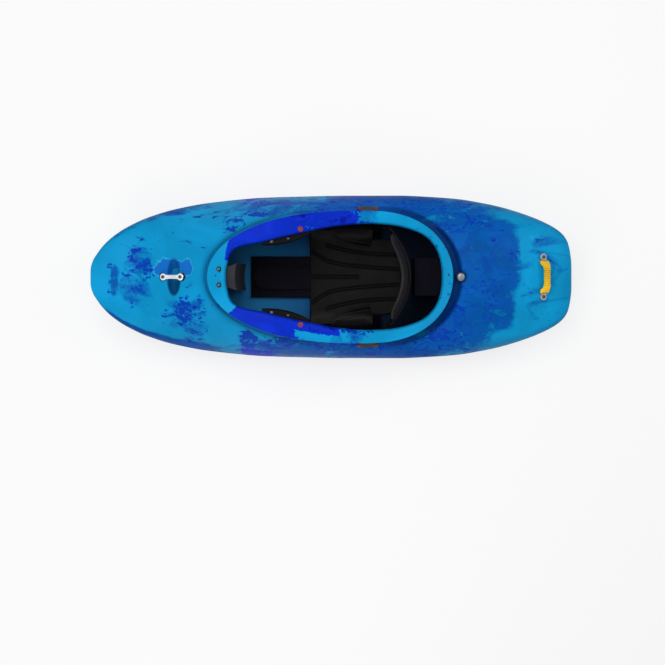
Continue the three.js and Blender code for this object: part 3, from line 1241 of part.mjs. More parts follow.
// Two small hooks under the rear inner edge of the rim
function addCordAnchors() {
  const rear = openingEdge.findIndex((edge, i) => i > rimStationCount / 4 && edge.y < anchorReach);
  const inset = openingEdge[rear].distanceTo(rimOuterEdge[rear]) - rimRollWall / 5;
  const place = rimPoint(rear, inset);
  const top = rimTopAt(place.x) - rimRollDepth - seatGap;
  const outline = new THREE.Shape([
    new THREE.Vector2(0, 0), new THREE.Vector2(0, -anchorLength),
    new THREE.Vector2(-anchorWidth, -anchorLength), new THREE.Vector2(-anchorWidth, -anchorLength * 2 / 3),
    new THREE.Vector2(-anchorWidth + anchorThickness, -anchorLength * 2 / 3),
    new THREE.Vector2(-anchorWidth + anchorThickness, -anchorLength + anchorThickness),
    new THREE.Vector2(-anchorThickness, -anchorLength + anchorThickness),
    new THREE.Vector2(-anchorThickness, 0),
  ]);
  const options = { depth: anchorWidth, bevelEnabled: false };
  [['left', -1], ['right', 1]].forEach(([name, sign]) => {
    const hook = new THREE.ExtrudeGeometry(outline, options).rotateX(Math.PI / 2)
      .translate(place.x, sign * place.y + anchorWidth / 2, top);
    addPiece(`cord_anchor_${name}`, solid(hook), finishes.blackPlastic);
  });
}

addBowBar();
addSternHandle();
addDrain();
addPillars();
addPillarBracket();
addThighHooks();
addRatchets();
addSeat();
addSeatPads();
addBackband();
addFootrest();
addCordAnchors();
const bareHull = outerSkin().subtract(innerSkin(hullWall)).subtract(cockpitCutter()).add(rimRing());
const seatedHull = hullSeats.reduce((body, seat) => body.add(seat), bareHull);
addPiece('hull_shell', hullHoles.reduce((body, hole) => body.subtract(hole), seatedHull), finishes.blueHull);

export default kayak;
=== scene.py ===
import json
import math

import bmesh
import bpy
import numpy as np
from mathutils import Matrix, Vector

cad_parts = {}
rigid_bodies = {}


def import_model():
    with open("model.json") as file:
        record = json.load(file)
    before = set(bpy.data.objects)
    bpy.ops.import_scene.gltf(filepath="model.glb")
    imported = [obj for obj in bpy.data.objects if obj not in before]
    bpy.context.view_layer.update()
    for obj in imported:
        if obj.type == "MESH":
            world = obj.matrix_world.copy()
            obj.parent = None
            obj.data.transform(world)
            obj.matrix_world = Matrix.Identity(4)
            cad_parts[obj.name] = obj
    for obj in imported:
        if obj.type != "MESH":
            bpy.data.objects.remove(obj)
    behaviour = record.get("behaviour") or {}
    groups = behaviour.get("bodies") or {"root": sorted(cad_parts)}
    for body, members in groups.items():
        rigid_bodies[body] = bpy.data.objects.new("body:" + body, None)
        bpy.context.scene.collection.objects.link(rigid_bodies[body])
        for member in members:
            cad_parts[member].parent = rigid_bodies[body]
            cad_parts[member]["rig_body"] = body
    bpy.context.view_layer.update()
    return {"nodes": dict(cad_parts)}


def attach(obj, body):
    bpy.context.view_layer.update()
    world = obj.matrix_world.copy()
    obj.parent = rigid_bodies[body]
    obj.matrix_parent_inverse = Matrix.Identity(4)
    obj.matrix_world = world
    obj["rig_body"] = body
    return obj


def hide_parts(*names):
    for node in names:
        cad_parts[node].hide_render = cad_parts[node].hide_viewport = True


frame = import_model()
cad_nodes = frame["nodes"]

# Hull sizes in metres, as in the record
HULL_LENGTH = 1.840
HULL_BREADTH = 0.631
BOW_TIP_HEIGHT = 0.222
DECK_PEAK_HEIGHT = 0.351
HULL_WALL = 0.006
RIM_PEAK_HEIGHT = 0.389

# Hull lines: share of the length from the bow, share of the named size
HALF_BREADTH = [
    (0, 0.1), (0.004, 0.19), (0.0109, 0.262), (0.0192, 0.336), (0.0275, 0.396), (0.0358, 0.446),
    (0.0441, 0.489), (0.0524, 0.527), (0.062, 0.568), (0.0828, 0.641), (0.1, 0.693), (0.1209, 0.743),
    (0.1416, 0.786), (0.1624, 0.822), (0.1831, 0.851), (0.2039, 0.877), (0.2276, 0.902), (0.29, 0.946),
    (0.352, 0.976), (0.43, 0.99), (0.52, 1), (0.64, 1), (0.703, 0.984), (0.766, 0.954), (0.807, 0.914),
    (0.848, 0.863), (0.885, 0.799), (0.9187, 0.727), (0.9355, 0.684), (0.9523, 0.635), (0.9691, 0.575),
    (0.984, 0.496), (0.993, 0.4), (1, 0.18)]
KEEL = [
    (0, 0.96), (0.029, 0.8), (0.054, 0.62), (0.087, 0.41), (0.12, 0.27), (0.172, 0.158),
    (0.221, 0.081), (0.271, 0.032), (0.339, 0.01), (0.38, 0), (0.565, 0), (0.641, 0.036),
    (0.724, 0.09), (0.766, 0.135), (0.807, 0.185), (0.848, 0.245), (0.89, 0.32), (0.931, 0.44),
    (0.973, 0.58), (1, 0.675)]
SEAM = [
    (0, 0.985), (0.019, 0.93), (0.056, 0.835), (0.089, 0.74), (0.161, 0.59), (0.205, 0.534),
    (0.261, 0.49), (0.4345, 0.473), (0.497, 0.485), (0.63, 0.507), (0.727, 0.534), (0.81, 0.575),
    (0.866, 0.616), (0.909, 0.665), (0.958, 0.727), (1, 0.752)]
DECK_LINE = [
    (0, 0.634), (0.05, 0.629), (0.097, 0.62), (0.124, 0.665), (0.145, 0.7), (0.186, 0.8),
    (0.2276, 0.897), (0.267, 0.962), (0.3207, 1.035), (0.372, 1.03), (0.4035, 0.985), (0.4345, 0.93),
    (0.4966, 0.82), (0.54, 0.74), (0.5814, 0.687), (0.6497, 0.667), (0.6994, 0.69), (0.738, 0.75),
    (0.78, 0.77), (0.807, 0.775), (0.8483, 0.735), (0.8897, 0.687), (0.9518, 0.59), (0.9932, 0.5185),
    (1, 0.487)]
CROWN_POWER = [(0, 4.5), (0.1, 3.6), (0.19, 2.3), (0.5, 2.6), (0.8, 2.6), (1, 4)]
CROWN_FALL = [(0, 0.4), (0.1, 0.5), (0.19, 0.8), (0.5, 0.62), (0.8, 0.62), (1, 0.45)]
CHINE_BREADTH = [(0, 0.6), (0.2, 0.74), (0.45, 0.8), (0.75, 0.78), (1, 0.7)]
RIM_TOP = [
    (0.25, 0.93), (0.26, 0.952), (0.27, 0.972), (0.29, 0.992), (0.31, 1), (0.383, 1), (0.4035, 0.982),
    (0.4345, 0.943), (0.4966, 0.859), (0.5587, 0.787), (0.61, 0.745), (0.662, 0.7275), (0.746, 0.722)]
OPENING = [
    (0, 0), (0.004, 0.2), (0.035, 0.49), (0.18, 0.652), (0.345, 0.815), (0.515, 0.955), (0.68, 1),
    (0.81, 0.945), (0.92, 0.77), (0.98, 0.47), (1, 0)]


def smooth_line(pairs, size):
    """Value of a hull line at x, without overshoot between its pairs."""
    runs = np.array([(run - 0.5) * HULL_LENGTH for run, _ in pairs])
    rises = np.array([rise * size for _, rise in pairs])
    slopes = np.diff(rises) / np.diff(runs)
    before = np.concatenate([slopes[:1], slopes])
    after = np.concatenate([slopes, slopes[-1:]])
    both = before * after
    tangents = np.where(both > 0, 2 * both / np.where(both > 0, before + after, 1), 0)

    def value(x):
        x = np.clip(np.asarray(x, float), runs[0], runs[-1])
        i = np.clip(np.searchsorted(runs, x, side="left") - 1, 0, len(slopes) - 1)
        span = runs[i + 1] - runs[i]
        t = (x - runs[i]) / span
        return (rises[i] * (1 + 2 * t) * (1 - t) ** 2 + rises[i + 1] * t * t * (3 - 2 * t)
                + tangents[i] * span * t * (1 - t) ** 2 + tangents[i + 1] * span * t * t * (t - 1))
    return value


half_breadth_at = smooth_line(HALF_BREADTH, HULL_BREADTH / 2)
keel_at = smooth_line(KEEL, BOW_TIP_HEIGHT)
seam_at = smooth_line(SEAM, BOW_TIP_HEIGHT)
deck_line_at = smooth_line(DECK_LINE, DECK_PEAK_HEIGHT)
crown_power_at = smooth_line(CROWN_POWER, 1)
crown_fall_at = smooth_line(CROWN_FALL, 1)
chine_share_at = smooth_line(CHINE_BREADTH, 1)
rim_top_at = smooth_line(RIM_TOP, RIM_PEAK_HEIGHT)


def station_x(share):
    return (share - 0.5) * HULL_LENGTH


# Cockpit rim, its opening, the groove behind it and the recess in the bow deck
RIM_FRONT_X, RIM_WIDEST_X, RIM_REAR_X = station_x(0.2515), station_x(0.569), station_x(0.746)
OPENING_FRONT_X, OPENING_REAR_X = station_x(0.2895), station_x(0.7235)
RIM_BREADTH, OPENING_BREADTH = 0.494, 0.397
RIM_OVERHANG, NECK_WALL, NECK_TAPER = 0.022, 0.006, 0.75
RIM_STATIONS = 384
GROOVE_WIDTH, GROOVE_DEPTH, GROOVE_TURN = 0.038, 0.016, 0.3
RECESS_X, RECESS_LENGTH, RECESS_BREADTH, RECESS_DEPTH = station_x(0.176), 0.052, 0.146, 0.026
PANEL_FRONT_X, PANEL_TAPER, PANEL_HALF, PANEL_RISE = 0.74, 0.14, 0.102, 0.004
PANEL_FADE = (0.915, 0.88)
BOW_ROUND, STERN_ROUND, HULL_STATIONS = 0.0042, 0.0085, 214
DECK_POINTS, DECK_SPREAD = 46, 1.6
# The moulding seam's bead: distance from the seam, and how far the skin stands out there
SEAM_BEAD = ((0.0055, 0), (0.0032, 0.0008), (0.0014, 0.0017), (0, 0.002))


def deck_fall(x, across):
    return (1 - np.minimum(across, 1) ** crown_power_at(x)) ** crown_fall_at(x)


def neck_reach_at(x):
    half = np.where(x < RIM_WIDEST_X, RIM_WIDEST_X - RIM_FRONT_X, RIM_REAR_X - RIM_WIDEST_X) - RIM_OVERHANG
    off = np.minimum(np.abs(x - RIM_WIDEST_X) / half, 1)
    return (RIM_BREADTH / 2 - RIM_OVERHANG) * (1 - off * off) ** NECK_TAPER


def crown_at(x):
    """Rise of the deck's middle over the seam, as if the cockpit weren't cut out of it."""
    return (deck_line_at(x) - seam_at(x)) / deck_fall(x, neck_reach_at(x) / half_breadth_at(x))


def plain_deck(x, y):
    """Height of the deck's crown before the recess and the groove are sunk into it."""
    return seam_at(x) + crown_at(x) * deck_fall(x, np.abs(y) / half_breadth_at(x))


def even_round(points, count):
    """Points at even spacing round a closed plan curve through the points given."""
    p = np.array(points, float)
    n = len(p)
    fine = []
    for i in range(n):
        a, b, c, d = p[i - 1], p[i], p[(i + 1) % n], p[(i + 2) % n]
        # centripetal spacing, as the CAD curve has
        ab, bc, cd = (max(np.linalg.norm(v) ** 0.5, 1e-9) for v in (b - a, c - b, d - c))
        m1 = (b - a) / ab - (c - a) / (ab + bc) + (c - b) / bc
        m2 = (c - b) / bc - (d - b) / (bc + cd) + (d - c) / cd
        m1, m2 = m1 * bc, m2 * bc
        for t in np.arange(0, 1, 1 / 48):
            fine.append(b * (2 * t**3 - 3 * t**2 + 1) + m1 * (t**3 - 2 * t**2 + t)
                        + c * (3 * t**2 - 2 * t**3) + m2 * (t**3 - t**2))
    fine = np.array(fine + fine[:1])
    run = np.concatenate([[0], np.cumsum(np.linalg.norm(np.diff(fine, axis=0), axis=1))])
    want = np.arange(count) / count * run[-1]
    return np.stack([np.interp(want, run, fine[:, k]) for k in (0, 1)], axis=1)


def rim_outline(angle):
    front = math.cos(angle) > 0
    half = RIM_WIDEST_X - RIM_FRONT_X if front else RIM_REAR_X - RIM_WIDEST_X
    along = abs(math.cos(angle)) ** (2 / (2.25 if front else 2.4)) * half
    return (RIM_WIDEST_X + (-along if front else along), math.sin(angle) * (RIM_BREADTH / 2))


rim_edge = even_round([rim_outline(2 * math.pi * i / 208) for i in range(208)], RIM_STATIONS)
opening_pairs = OPENING + [(a, -b) for a, b in OPENING[-2:0:-1]]
opening_edge = even_round([(OPENING_FRONT_X + a * (OPENING_REAR_X - OPENING_FRONT_X), b * OPENING_BREADTH / 2)
                           for a, b in opening_pairs], RIM_STATIONS)
rim_widths = np.linalg.norm(opening_edge - rim_edge, axis=1)
rim_inward = (opening_edge - rim_edge) / rim_widths[:, None]
groove_turn = np.abs(np.arange(RIM_STATIONS) / RIM_STATIONS - 0.5) / GROOVE_TURN
groove_pull = np.where(groove_turn < 1, np.cos(np.minimum(groove_turn, 1) * math.pi / 2) ** 2, 0)
neck_line = rim_edge + rim_inward * RIM_OVERHANG
cut_line = rim_edge + rim_inward * (RIM_OVERHANG + NECK_WALL / 2)


def smooth_step(low, high, value):
    t = np.clip((value - low) / (high - low), 0, 1)
    return t * t * (3 - 2 * t)


def off_line(line, x, y):
    """Signed distance of places from a closed plan line, positive outside, with the line's
    nearest station and nearest point."""
    places = np.stack([np.atleast_1d(x), np.atleast_1d(y)], 1)
    nearest = np.concatenate([
        np.hypot(*(places[start:start + 4000, None] - line).transpose(2, 0, 1)).argmin(1)
        for start in range(0, len(places), 4000)])
    best, foot = np.full(len(places), 1e9), places
    for a, b in ((nearest - 1, nearest), (nearest, (nearest + 1) % len(line))):
        edge, off = line[b] - line[a], places - line[a]
        t = np.clip((off * edge).sum(1) / (edge * edge).sum(1), 0, 1)
        along = edge * t[:, None]
        far = np.hypot(*(off - along).T)
        sign = np.where(edge[:, 0] * off[:, 1] - edge[:, 1] * off[:, 0] > 0, 1, -1)
        closer = far < np.abs(best)
        best = np.where(closer, far * sign, best)
        foot = np.where(closer[:, None], line[a] + along, foot)
    return best, nearest, foot


DRAIN_X, DRAIN_TOP, DRAIN_SEAT = station_x(0.762), 0.262, 0.022
neck_deck = plain_deck(neck_line[:, 0], neck_line[:, 1])
groove_floor = neck_deck - GROOVE_DEPTH * groove_pull + HULL_WALL * (1 - groove_pull)
groove_reach = RIM_OVERHANG + GROOVE_WIDTH * np.sqrt(groove_pull)
groove_toe = RIM_OVERHANG + GROOVE_WIDTH * np.sqrt(groove_pull) * 0.6
groove_edge = rim_edge - rim_inward * (GROOVE_WIDTH * np.sqrt(groove_pull))[:, None]
groove_top = np.maximum(plain_deck(groove_edge[:, 0], groove_edge[:, 1]), groove_floor) + 0.003


def soft_lower(a, b, round_off):
    """The lower of two surfaces, with the edge between them rounded off."""
    h = np.clip(round_off - np.abs(a - b), 0, None) / round_off
    return np.minimum(a, b) - h * h * round_off / 4


def panel_across(x, y):
    """How far across the stern panel a place lies. The panel narrows aft."""
    return np.abs(y) + (x - PANEL_FRONT_X) * PANEL_TAPER


def deck_height(x, y):
    """Height of the moulded deck with its groove, grip recess, drain seat and stern panel."""
    x, y = np.atleast_1d(np.asarray(x, float)), np.atleast_1d(np.asarray(y, float))
    z = plain_deck(x, y)
    panel = smooth_step(PANEL_FRONT_X - 0.0005, PANEL_FRONT_X + 0.0045, x)
    panel = panel * smooth_step(PANEL_HALF + 0.0025, PANEL_HALF - 0.0025, panel_across(x, y))
    z = z + PANEL_RISE * panel * smooth_step(*PANEL_FADE, x)
    near = (x > -0.08) & (np.abs(y) < 0.30)
    if near.any():
        gap, at, _ = off_line(neck_line, x[near], y[near])
        toe, reach, floor, top = groove_toe[at], groove_reach[at], groove_floor[at], groove_top[at]
        wall = floor + (top - floor) * np.clip((gap - toe) / np.maximum(reach - toe, 0.004), 0, 3)
        sunk = soft_lower(z[near], wall, 0.006) - z[near]
        z[near] += np.where(groove_pull[at] > 0.02, sunk * smooth_step(0.02, 0.12, groove_pull[at]), 0)
    r = np.hypot((x - RECESS_X) / (RECESS_LENGTH / 2), y / (RECESS_BREADTH / 2))
    bowl = 1 - r ** 2.4
    bowl_z = plain_deck(RECESS_X, 0.0) - RECESS_DEPTH * np.sign(bowl) * np.abs(bowl) ** np.where(bowl > 0, 0.72, 1)
    z = np.where(r < 1.6, soft_lower(z, bowl_z, 0.005), z)
    drain = np.hypot(x - DRAIN_X, y)
    seat_z = DRAIN_TOP - 0.0002 + np.clip(drain - DRAIN_SEAT, 0, None) * 3.5
    return np.where(drain < 0.05, soft_lower(z, seat_z, 0.003), z)


# Mesh tools
def linked(name, data):
    obj = bpy.data.objects.new(name, data)
    bpy.context.scene.collection.objects.link(obj)
    return obj


def finish_shading(obj, smooth=True, sharp=None):
    obj.data.polygons.foreach_set("use_smooth", [smooth] * len(obj.data.polygons))
    if sharp:
        obj.data.set_sharp_from_angle(angle=math.radians(sharp))
    obj.data.update()


def mesh_object(name, points, faces, smooth=True):
    mesh = bpy.data.meshes.new(name)
    mesh.from_pydata([tuple(p) for p in points], [], [tuple(f) for f in faces])
    mesh.validate()
    obj = linked(name, mesh)
    finish_shading(obj, smooth)
    return obj


def ring_faces(rings, count, loop=False):
    """Faces between rings of points, and in a loop also from the last ring to the first."""
    faces = []
    for i in range(rings if loop else rings - 1):
        a, b = i * count, (i + 1) % rings * count
        faces += [(a + k, a + (k + 1) % count, b + (k + 1) % count, b + k) for k in range(count)]
    return faces


def points_of(obj):
    return np.array([v.co for v in obj.data.vertices])


def face_outward(obj):
    """Turns the faces of a closed mesh outward, by the sign of its volume."""
    obj.data.calc_loop_triangles()
    corners = ([obj.data.vertices[i].co for i in tri.vertices] for tri in obj.data.loop_triangles)
    if sum(a.dot(b.cross(c)) for a, b, c in corners) < 0:
        obj.data.flip_normals()


def add_modifier(obj, kind, **settings):
    modifier = obj.modifiers.new(kind.lower(), kind)
    for key, value in settings.items():
        setattr(modifier, key, value)
    return modifier


def bake_modifiers(obj):
    """Turns an object's modifiers into plain mesh."""
    bpy.context.view_layer.update()
    solved = obj.evaluated_get(bpy.context.evaluated_depsgraph_get())
    mesh, old = bpy.data.meshes.new_from_object(solved), obj.data
    obj.modifiers.clear()
    obj.data = mesh
    mesh.name = obj.name
    bpy.data.meshes.remove(old)


def bevel(obj, reach, segments, angle):
    add_modifier(obj, "BEVEL", width=reach, segments=segments, limit_method="ANGLE",
                 angle_limit=math.radians(angle), use_clamp_overlap=True, harden_normals=False)
    bake_modifiers(obj)


def corner_round(before, corner, after, reach, steps):
    """Points of a rounded corner between two straight runs, as arrays over the stations."""
    a, b = before - corner, after - corner
    la, lb = (np.linalg.norm(v, axis=-1, keepdims=True) for v in (a, b))
    start = corner + a / la * np.minimum(reach, 0.45 * la)
    end = corner + b / lb * np.minimum(reach, 0.45 * lb)
    ts = np.arange(steps + 1) / steps
    return [start * (1 - t) ** 2 + corner * 2 * t * (1 - t) + end * t * t for t in ts]


def hull_half_section(x):
    """Starboard half of the hull's section at stations x, from the keel round to the deck's middle."""
    half, keel, seam = half_breadth_at(x), keel_at(x), seam_at(x)
    rise, chine, crown = seam - keel, half * chine_share_at(x), crown_at(x)
    anchors = [np.stack(p, 1) for p in (
        (0 * x, keel), (chine, keel), (half * 0.94, keel + rise * 0.19),
        (half * 0.985, keel + rise * 0.62), (half, seam))]
    scale = np.clip(np.minimum(rise, crown) / 0.03, 0.05, 1)
    below = anchors[4] - anchors[3]
    below = below / np.linalg.norm(below, axis=1, keepdims=True)
    corners = [corner_round(anchors[i - 1], anchors[i], anchors[i + 1], reach, 4)
               for i, reach in ((1, 0.009), (2, 0.012), (3, 0.03))]
    ends = [anchors[0]] + [c[-1] for c in corners]
    starts = [c[0] for c in corners] + [anchors[4] - below * (SEAM_BEAD[0][0] * scale)[:, None]]
    line = [anchors[0]]
    for i, (a, b, fill) in enumerate(zip(ends, starts, (9, 5, 4, 3))):
        line += [a * (1 - t) + b * t for t in np.linspace(0, 1, fill + 1)[1:-1]]
        line += corners[i] if i < 3 else []
    for drop, bulge in SEAM_BEAD:
        place = anchors[4] - below * (drop * scale)[:, None]
        place[:, 0] += bulge * scale
        line.append(place)
    power, fall = crown_power_at(x), crown_fall_at(x)
    for lift, bulge in SEAM_BEAD[-2::-1]:
        across = (1 - (lift * scale / crown) ** (1 / fall)) ** (1 / power)
        line.append(np.stack([across * half + bulge * scale, seam + lift * scale], 1))
    start = (1 - across) ** (1 / DECK_SPREAD)
    for k in range(1, DECK_POINTS + 1):
        s = start + (1 - start) * k / DECK_POINTS
        y = (1 - s ** DECK_SPREAD) * half
        line.append(np.stack([y, plain_deck(x, y)], 1))
    return np.stack(line, 1)


def rounded_end(side, radius):
    """Stations that close one end of the hull with a rounded edge."""
    stations = []
    for angle in np.radians([22, 45, 67, 90]):
        x = side * (HULL_LENGTH / 2 - radius * (1 - math.sin(angle)))
        row = hull_half_section(np.array([x]))[0]
        middle = (row[:, 1].max() + row[:, 1].min()) / 2
        tall = (row[:, 1].max() - row[:, 1].min()) / 2
        inset = radius * (1 - math.cos(angle)) * 0.93
        stations.append((x, np.stack([row[:, 0] * (1 - inset / row[:, 0].max()),
                                      middle + (row[:, 1] - middle) * (1 - inset / tall)], 1)))
    return stations


def refine_deck(shape):
    """Finer faces along the groove, in the grip recess and at the drain."""
    recess_half_x, recess_half_y, drain_reach, groove_margin = 0.042, 0.092, 0.034, 0.012

    def on_deck(place):
        return place.z > seam_at(place.x) + 0.02

    def fine_level(place):
        if not on_deck(place):
            return 0
        if abs(place.x - RECESS_X) < recess_half_x and abs(place.y) < recess_half_y:
            return 2
        return 1 if math.hypot(place.x - DRAIN_X, place.y) < drain_reach else 0

    def divide(faces):
        edges = {e for f in faces for e in f.edges}
        bmesh.ops.subdivide_edges(shape, edges=list(edges), cuts=1, use_grid_fill=True)

    after = [(f, f.calc_center_median()) for f in shape.faces if f.calc_center_median().x > -0.05]
    after = [(f, place) for f, place in after if on_deck(place)]
    centres = np.array([place for _, place in after])
    gap, at, _ = off_line(neck_line, centres[:, 0], centres[:, 1])
    take = (gap > -groove_margin) & (gap < groove_reach[at] + groove_margin) & (groove_pull[at] > 0.02)
    divide([f for (f, _), near in zip(after, take) if near])
    for level in (1, 2):
        divide([f for f in shape.faces if fine_level(f.calc_center_median()) >= level])


def build_hull_skin(outer_mat, inner_mat):
    """Hull and deck in one skin, open at the cockpit's neck, then given its wall."""
    bow_x, stern_x = BOW_ROUND - HULL_LENGTH / 2, HULL_LENGTH / 2 - STERN_ROUND
    even = np.linspace(-1, 1, HULL_STATIONS)
    x = np.sin(even * math.pi / 2) * 0.3 + even * 0.7
    x = bow_x + (x + 1) / 2 * (stern_x - bow_x)
    stations = rounded_end(-1, BOW_ROUND)[::-1] + list(zip(x, hull_half_section(x))) + rounded_end(1, STERN_ROUND)
    points = []
    for at, row in stations:
        points += [(at, y, z) for y, z in row] + [(at, -y, z) for y, z in row[-2:0:-1]]
    count = len(points) // len(stations)
    faces = ring_faces(len(stations), count)
    faces += [range(count - 1, -1, -1), range(len(points) - count, len(points))]
    hull = mesh_object("hull_skin", points, faces)
    shape = bmesh.new()
    shape.from_mesh(hull.data)
    refine_deck(shape)
    deck = [v for v in shape.verts if v.co.z > seam_at(v.co.x) + 0.007]
    places = np.array([v.co for v in deck])
    gap = off_line(cut_line, places[:, 0], places[:, 1])[0]
    for v, z in zip(deck, deck_height(places[:, 0], places[:, 1])):
        v.co.z = z
    inside = {v for v, off in zip(deck, gap) if off < 0}
    doomed = [f for f in shape.faces if any(v in inside for v in f.verts)]
    bmesh.ops.delete(shape, geom=doomed, context="FACES")
    loose = [v for v in shape.verts if v.is_boundary]
    places = np.array([v.co for v in loose])
    feet = off_line(cut_line, places[:, 0], places[:, 1])[2]
    for v, foot, z in zip(loose, feet, deck_height(feet[:, 0], feet[:, 1])):
        v.co = (*foot, z)
    shape.to_mesh(hull.data)
    shape.free()
    # The wall thins toward both ends, where the skin's sides come close together
    end_share, end_run = 0.08, 0.06
    group = hull.vertex_groups.new(name="wall")
    for v in hull.data.vertices:
        full = smooth_step(0.0, end_run, HULL_LENGTH / 2 - abs(v.co.x))
        group.add([v.index], float(end_share + (1 - end_share) * full), "REPLACE")
    add_modifier(hull, "SOLIDIFY", thickness=HULL_WALL, offset=-1, vertex_group="wall", material_offset=1)
    hull.data.materials.append(outer_mat)
    hull.data.materials.append(inner_mat)
    bake_modifiers(hull)
    finish_shading(hull, True, 62)
    return hull


def build_rim():
    """The rim with its lip, plate, rolled inner edge and neck, swept round the cockpit."""
    width = rim_widths[:, None]

    def at(inward, drop):
        place = rim_edge + rim_inward * inward
        return np.column_stack([place, rim_top_at(place[:, 0]) - drop])

    def foot(inward):
        place = rim_edge + rim_inward * inward
        return np.column_stack([place, deck_height(place[:, 0], place[:, 1]) - HULL_WALL * 0.75])

    # Corners of the section, each with the reach of its rounding
    neck_in, lip_top = RIM_OVERHANG + NECK_WALL, 1
    anchors = [
        (at(0, 0.018), 0.0012), (at(0.003, 0), 0.0035), (at(width - 0.014, 0.003), 0.012),
        (at(width - 0.0035, 0.00675), 0.008), (at(width, 0.018), 0.006), (at(width, 0.026), 0.0025),
        (at(width - 0.007, 0.026), 0.0025), (at(width - 0.007, 0.013), 0.003), (at(neck_in, 0.013), 0.004),
        (foot(neck_in), 0), (foot(RIM_OVERHANG), 0), (at(RIM_OVERHANG, 0.013), 0.004),
        (at(0.003, 0.014), 0.002)]
    section = []
    for k, (place, reach) in enumerate(anchors):
        before, after = anchors[k - 1][0], anchors[(k + 1) % len(anchors)][0]
        if k == lip_top:
            place = at(0, 0)
        section += corner_round(before, place, after, reach, 5) if reach else [place]
        shares = np.linspace(0.1, 0.86, 10) if k == lip_top else (0.35, 0.7) if not reach or k in (8, 11) else ()
        section += [place * (1 - t) + after * t for t in shares]
    rows = np.stack(section, 1)
    rim = mesh_object("cockpit_rim", rows.reshape(-1, 3), ring_faces(RIM_STATIONS, rows.shape[1], loop=True))
    face_outward(rim)
    finish_shading(rim, True, 58)
    return rim


# Finishes. Each is a node material on Object coordinates, in metres.
BLACK, WHITE = (0, 0, 0), (1, 1, 1)


def add(tree, kind, inputs=None, **settings):
    """A node with its settings. An input that is given a socket is linked to it."""
    node = tree.nodes.new(kind)
    for key, value in settings.items():
        setattr(node, key, value)
    for key, value in (inputs or {}).items():
        if isinstance(value, bpy.types.NodeSocket):
            tree.links.new(value, node.inputs[key])
        else:
            node.inputs[key].default_value = value
    return node


def noise_node(tree, where, scale, detail, distortion=0.0):
    return add(tree, "ShaderNodeTexNoise", {
        "Vector": where, "Scale": scale, "Detail": detail, "Distortion": distortion}).outputs[0]


def ramp_node(tree, value, stops):
    node = add(tree, "ShaderNodeValToRGB", {0: value})
    ramp = node.color_ramp
    while len(ramp.elements) < len(stops):
        ramp.elements.new(0.5)
    for element, (place, tone) in zip(ramp.elements, stops):
        element.position = place
        element.color = (*tone, 1.0)
    return node.outputs[0]


def mix_node(tree, share, a, b):
    a, b = ((*tone, 1.0) if isinstance(tone, tuple) else tone for tone in (a, b))
    return add(tree, "ShaderNodeMix", {"Factor": share, 6: a, 7: b}, data_type="RGBA").outputs[2]


def math_node(tree, operation, a, b=0.0):
    return add(tree, "ShaderNodeMath", {0: a, 1: b}, operation=operation).outputs[0]


def painted(tree, name):
    return add(tree, "ShaderNodeAttribute", attribute_name=name).outputs["Fac"]


def object_place(tree):
    return add(tree, "ShaderNodeTexCoord").outputs["Object"]


def uneven_gloss(tree, cloud, low, high):
    return add(tree, "ShaderNodeMapRange", {"Value": cloud, "To Min": low, "To Max": high}).outputs[0]


def fine_bump(tree, height, strength, distance):
    return add(tree, "ShaderNodeBump", {"Strength": strength, "Distance": distance, "Height": height}).outputs[0]


def new_tree(data):
    data.use_nodes = True
    data.node_tree.nodes.clear()
    return data.node_tree


def colour(red, green, blue):
    """Linear colour from an 8-bit display colour."""
    return tuple(((c / 255 + 0.055) / 1.055) ** 2.4 if c > 10 else c / 255 / 12.92 for c in (red, green, blue))


def shade(name, base, roughness=0.5, metallic=0.0, grain=0.0, grain_scale=900.0, coat=0.0, sheen=0.0, gloss=0.12):
    """Plain moulded, turned or woven finish, a little uneven, with fine grain."""
    mat = bpy.data.materials.new(name)
    tree = new_tree(mat)
    where = object_place(tree)
    cloud = noise_node(tree, where, 14.0, 4.0)
    inputs = {
        "Base Color": ramp_node(tree, cloud, [(0.3, tuple(c * 0.78 for c in base)),
                                              (0.72, tuple(min(1.0, c * 1.18) for c in base))]),
        "Roughness": uneven_gloss(tree, cloud, max(roughness - 0.07, 0.03), min(roughness + 0.09, 1.0)),
        "Metallic": metallic, "Specular IOR Level": 0.5 if metallic else gloss, "Coat Weight": coat,
        "Coat Roughness": 0.2, "Sheen Weight": sheen, "Sheen Roughness": 0.6}
    if grain:
        inputs["Normal"] = fine_bump(tree, noise_node(tree, where, grain_scale, 2.0), 0.6, grain)
    skin = add(tree, "ShaderNodeBsdfPrincipled", inputs)
    add(tree, "ShaderNodeOutputMaterial", {0: skin.outputs[0]})
    return mat


CYAN, LIGHT_CYAN, MID_BLUE = colour(12, 148, 204), colour(66, 178, 224), colour(4, 84, 164)
SMOOTH_BLUE, FLECK_BLUE, ROYAL = colour(20, 106, 194), colour(6, 62, 172), colour(8, 42, 182)
# PAINTED_SHADE_NAVY is painted shade, not a colour of the plastic
DEEP_BLUE, PAINTED_SHADE_NAVY = colour(8, 22, 140), colour(0, 38, 92)


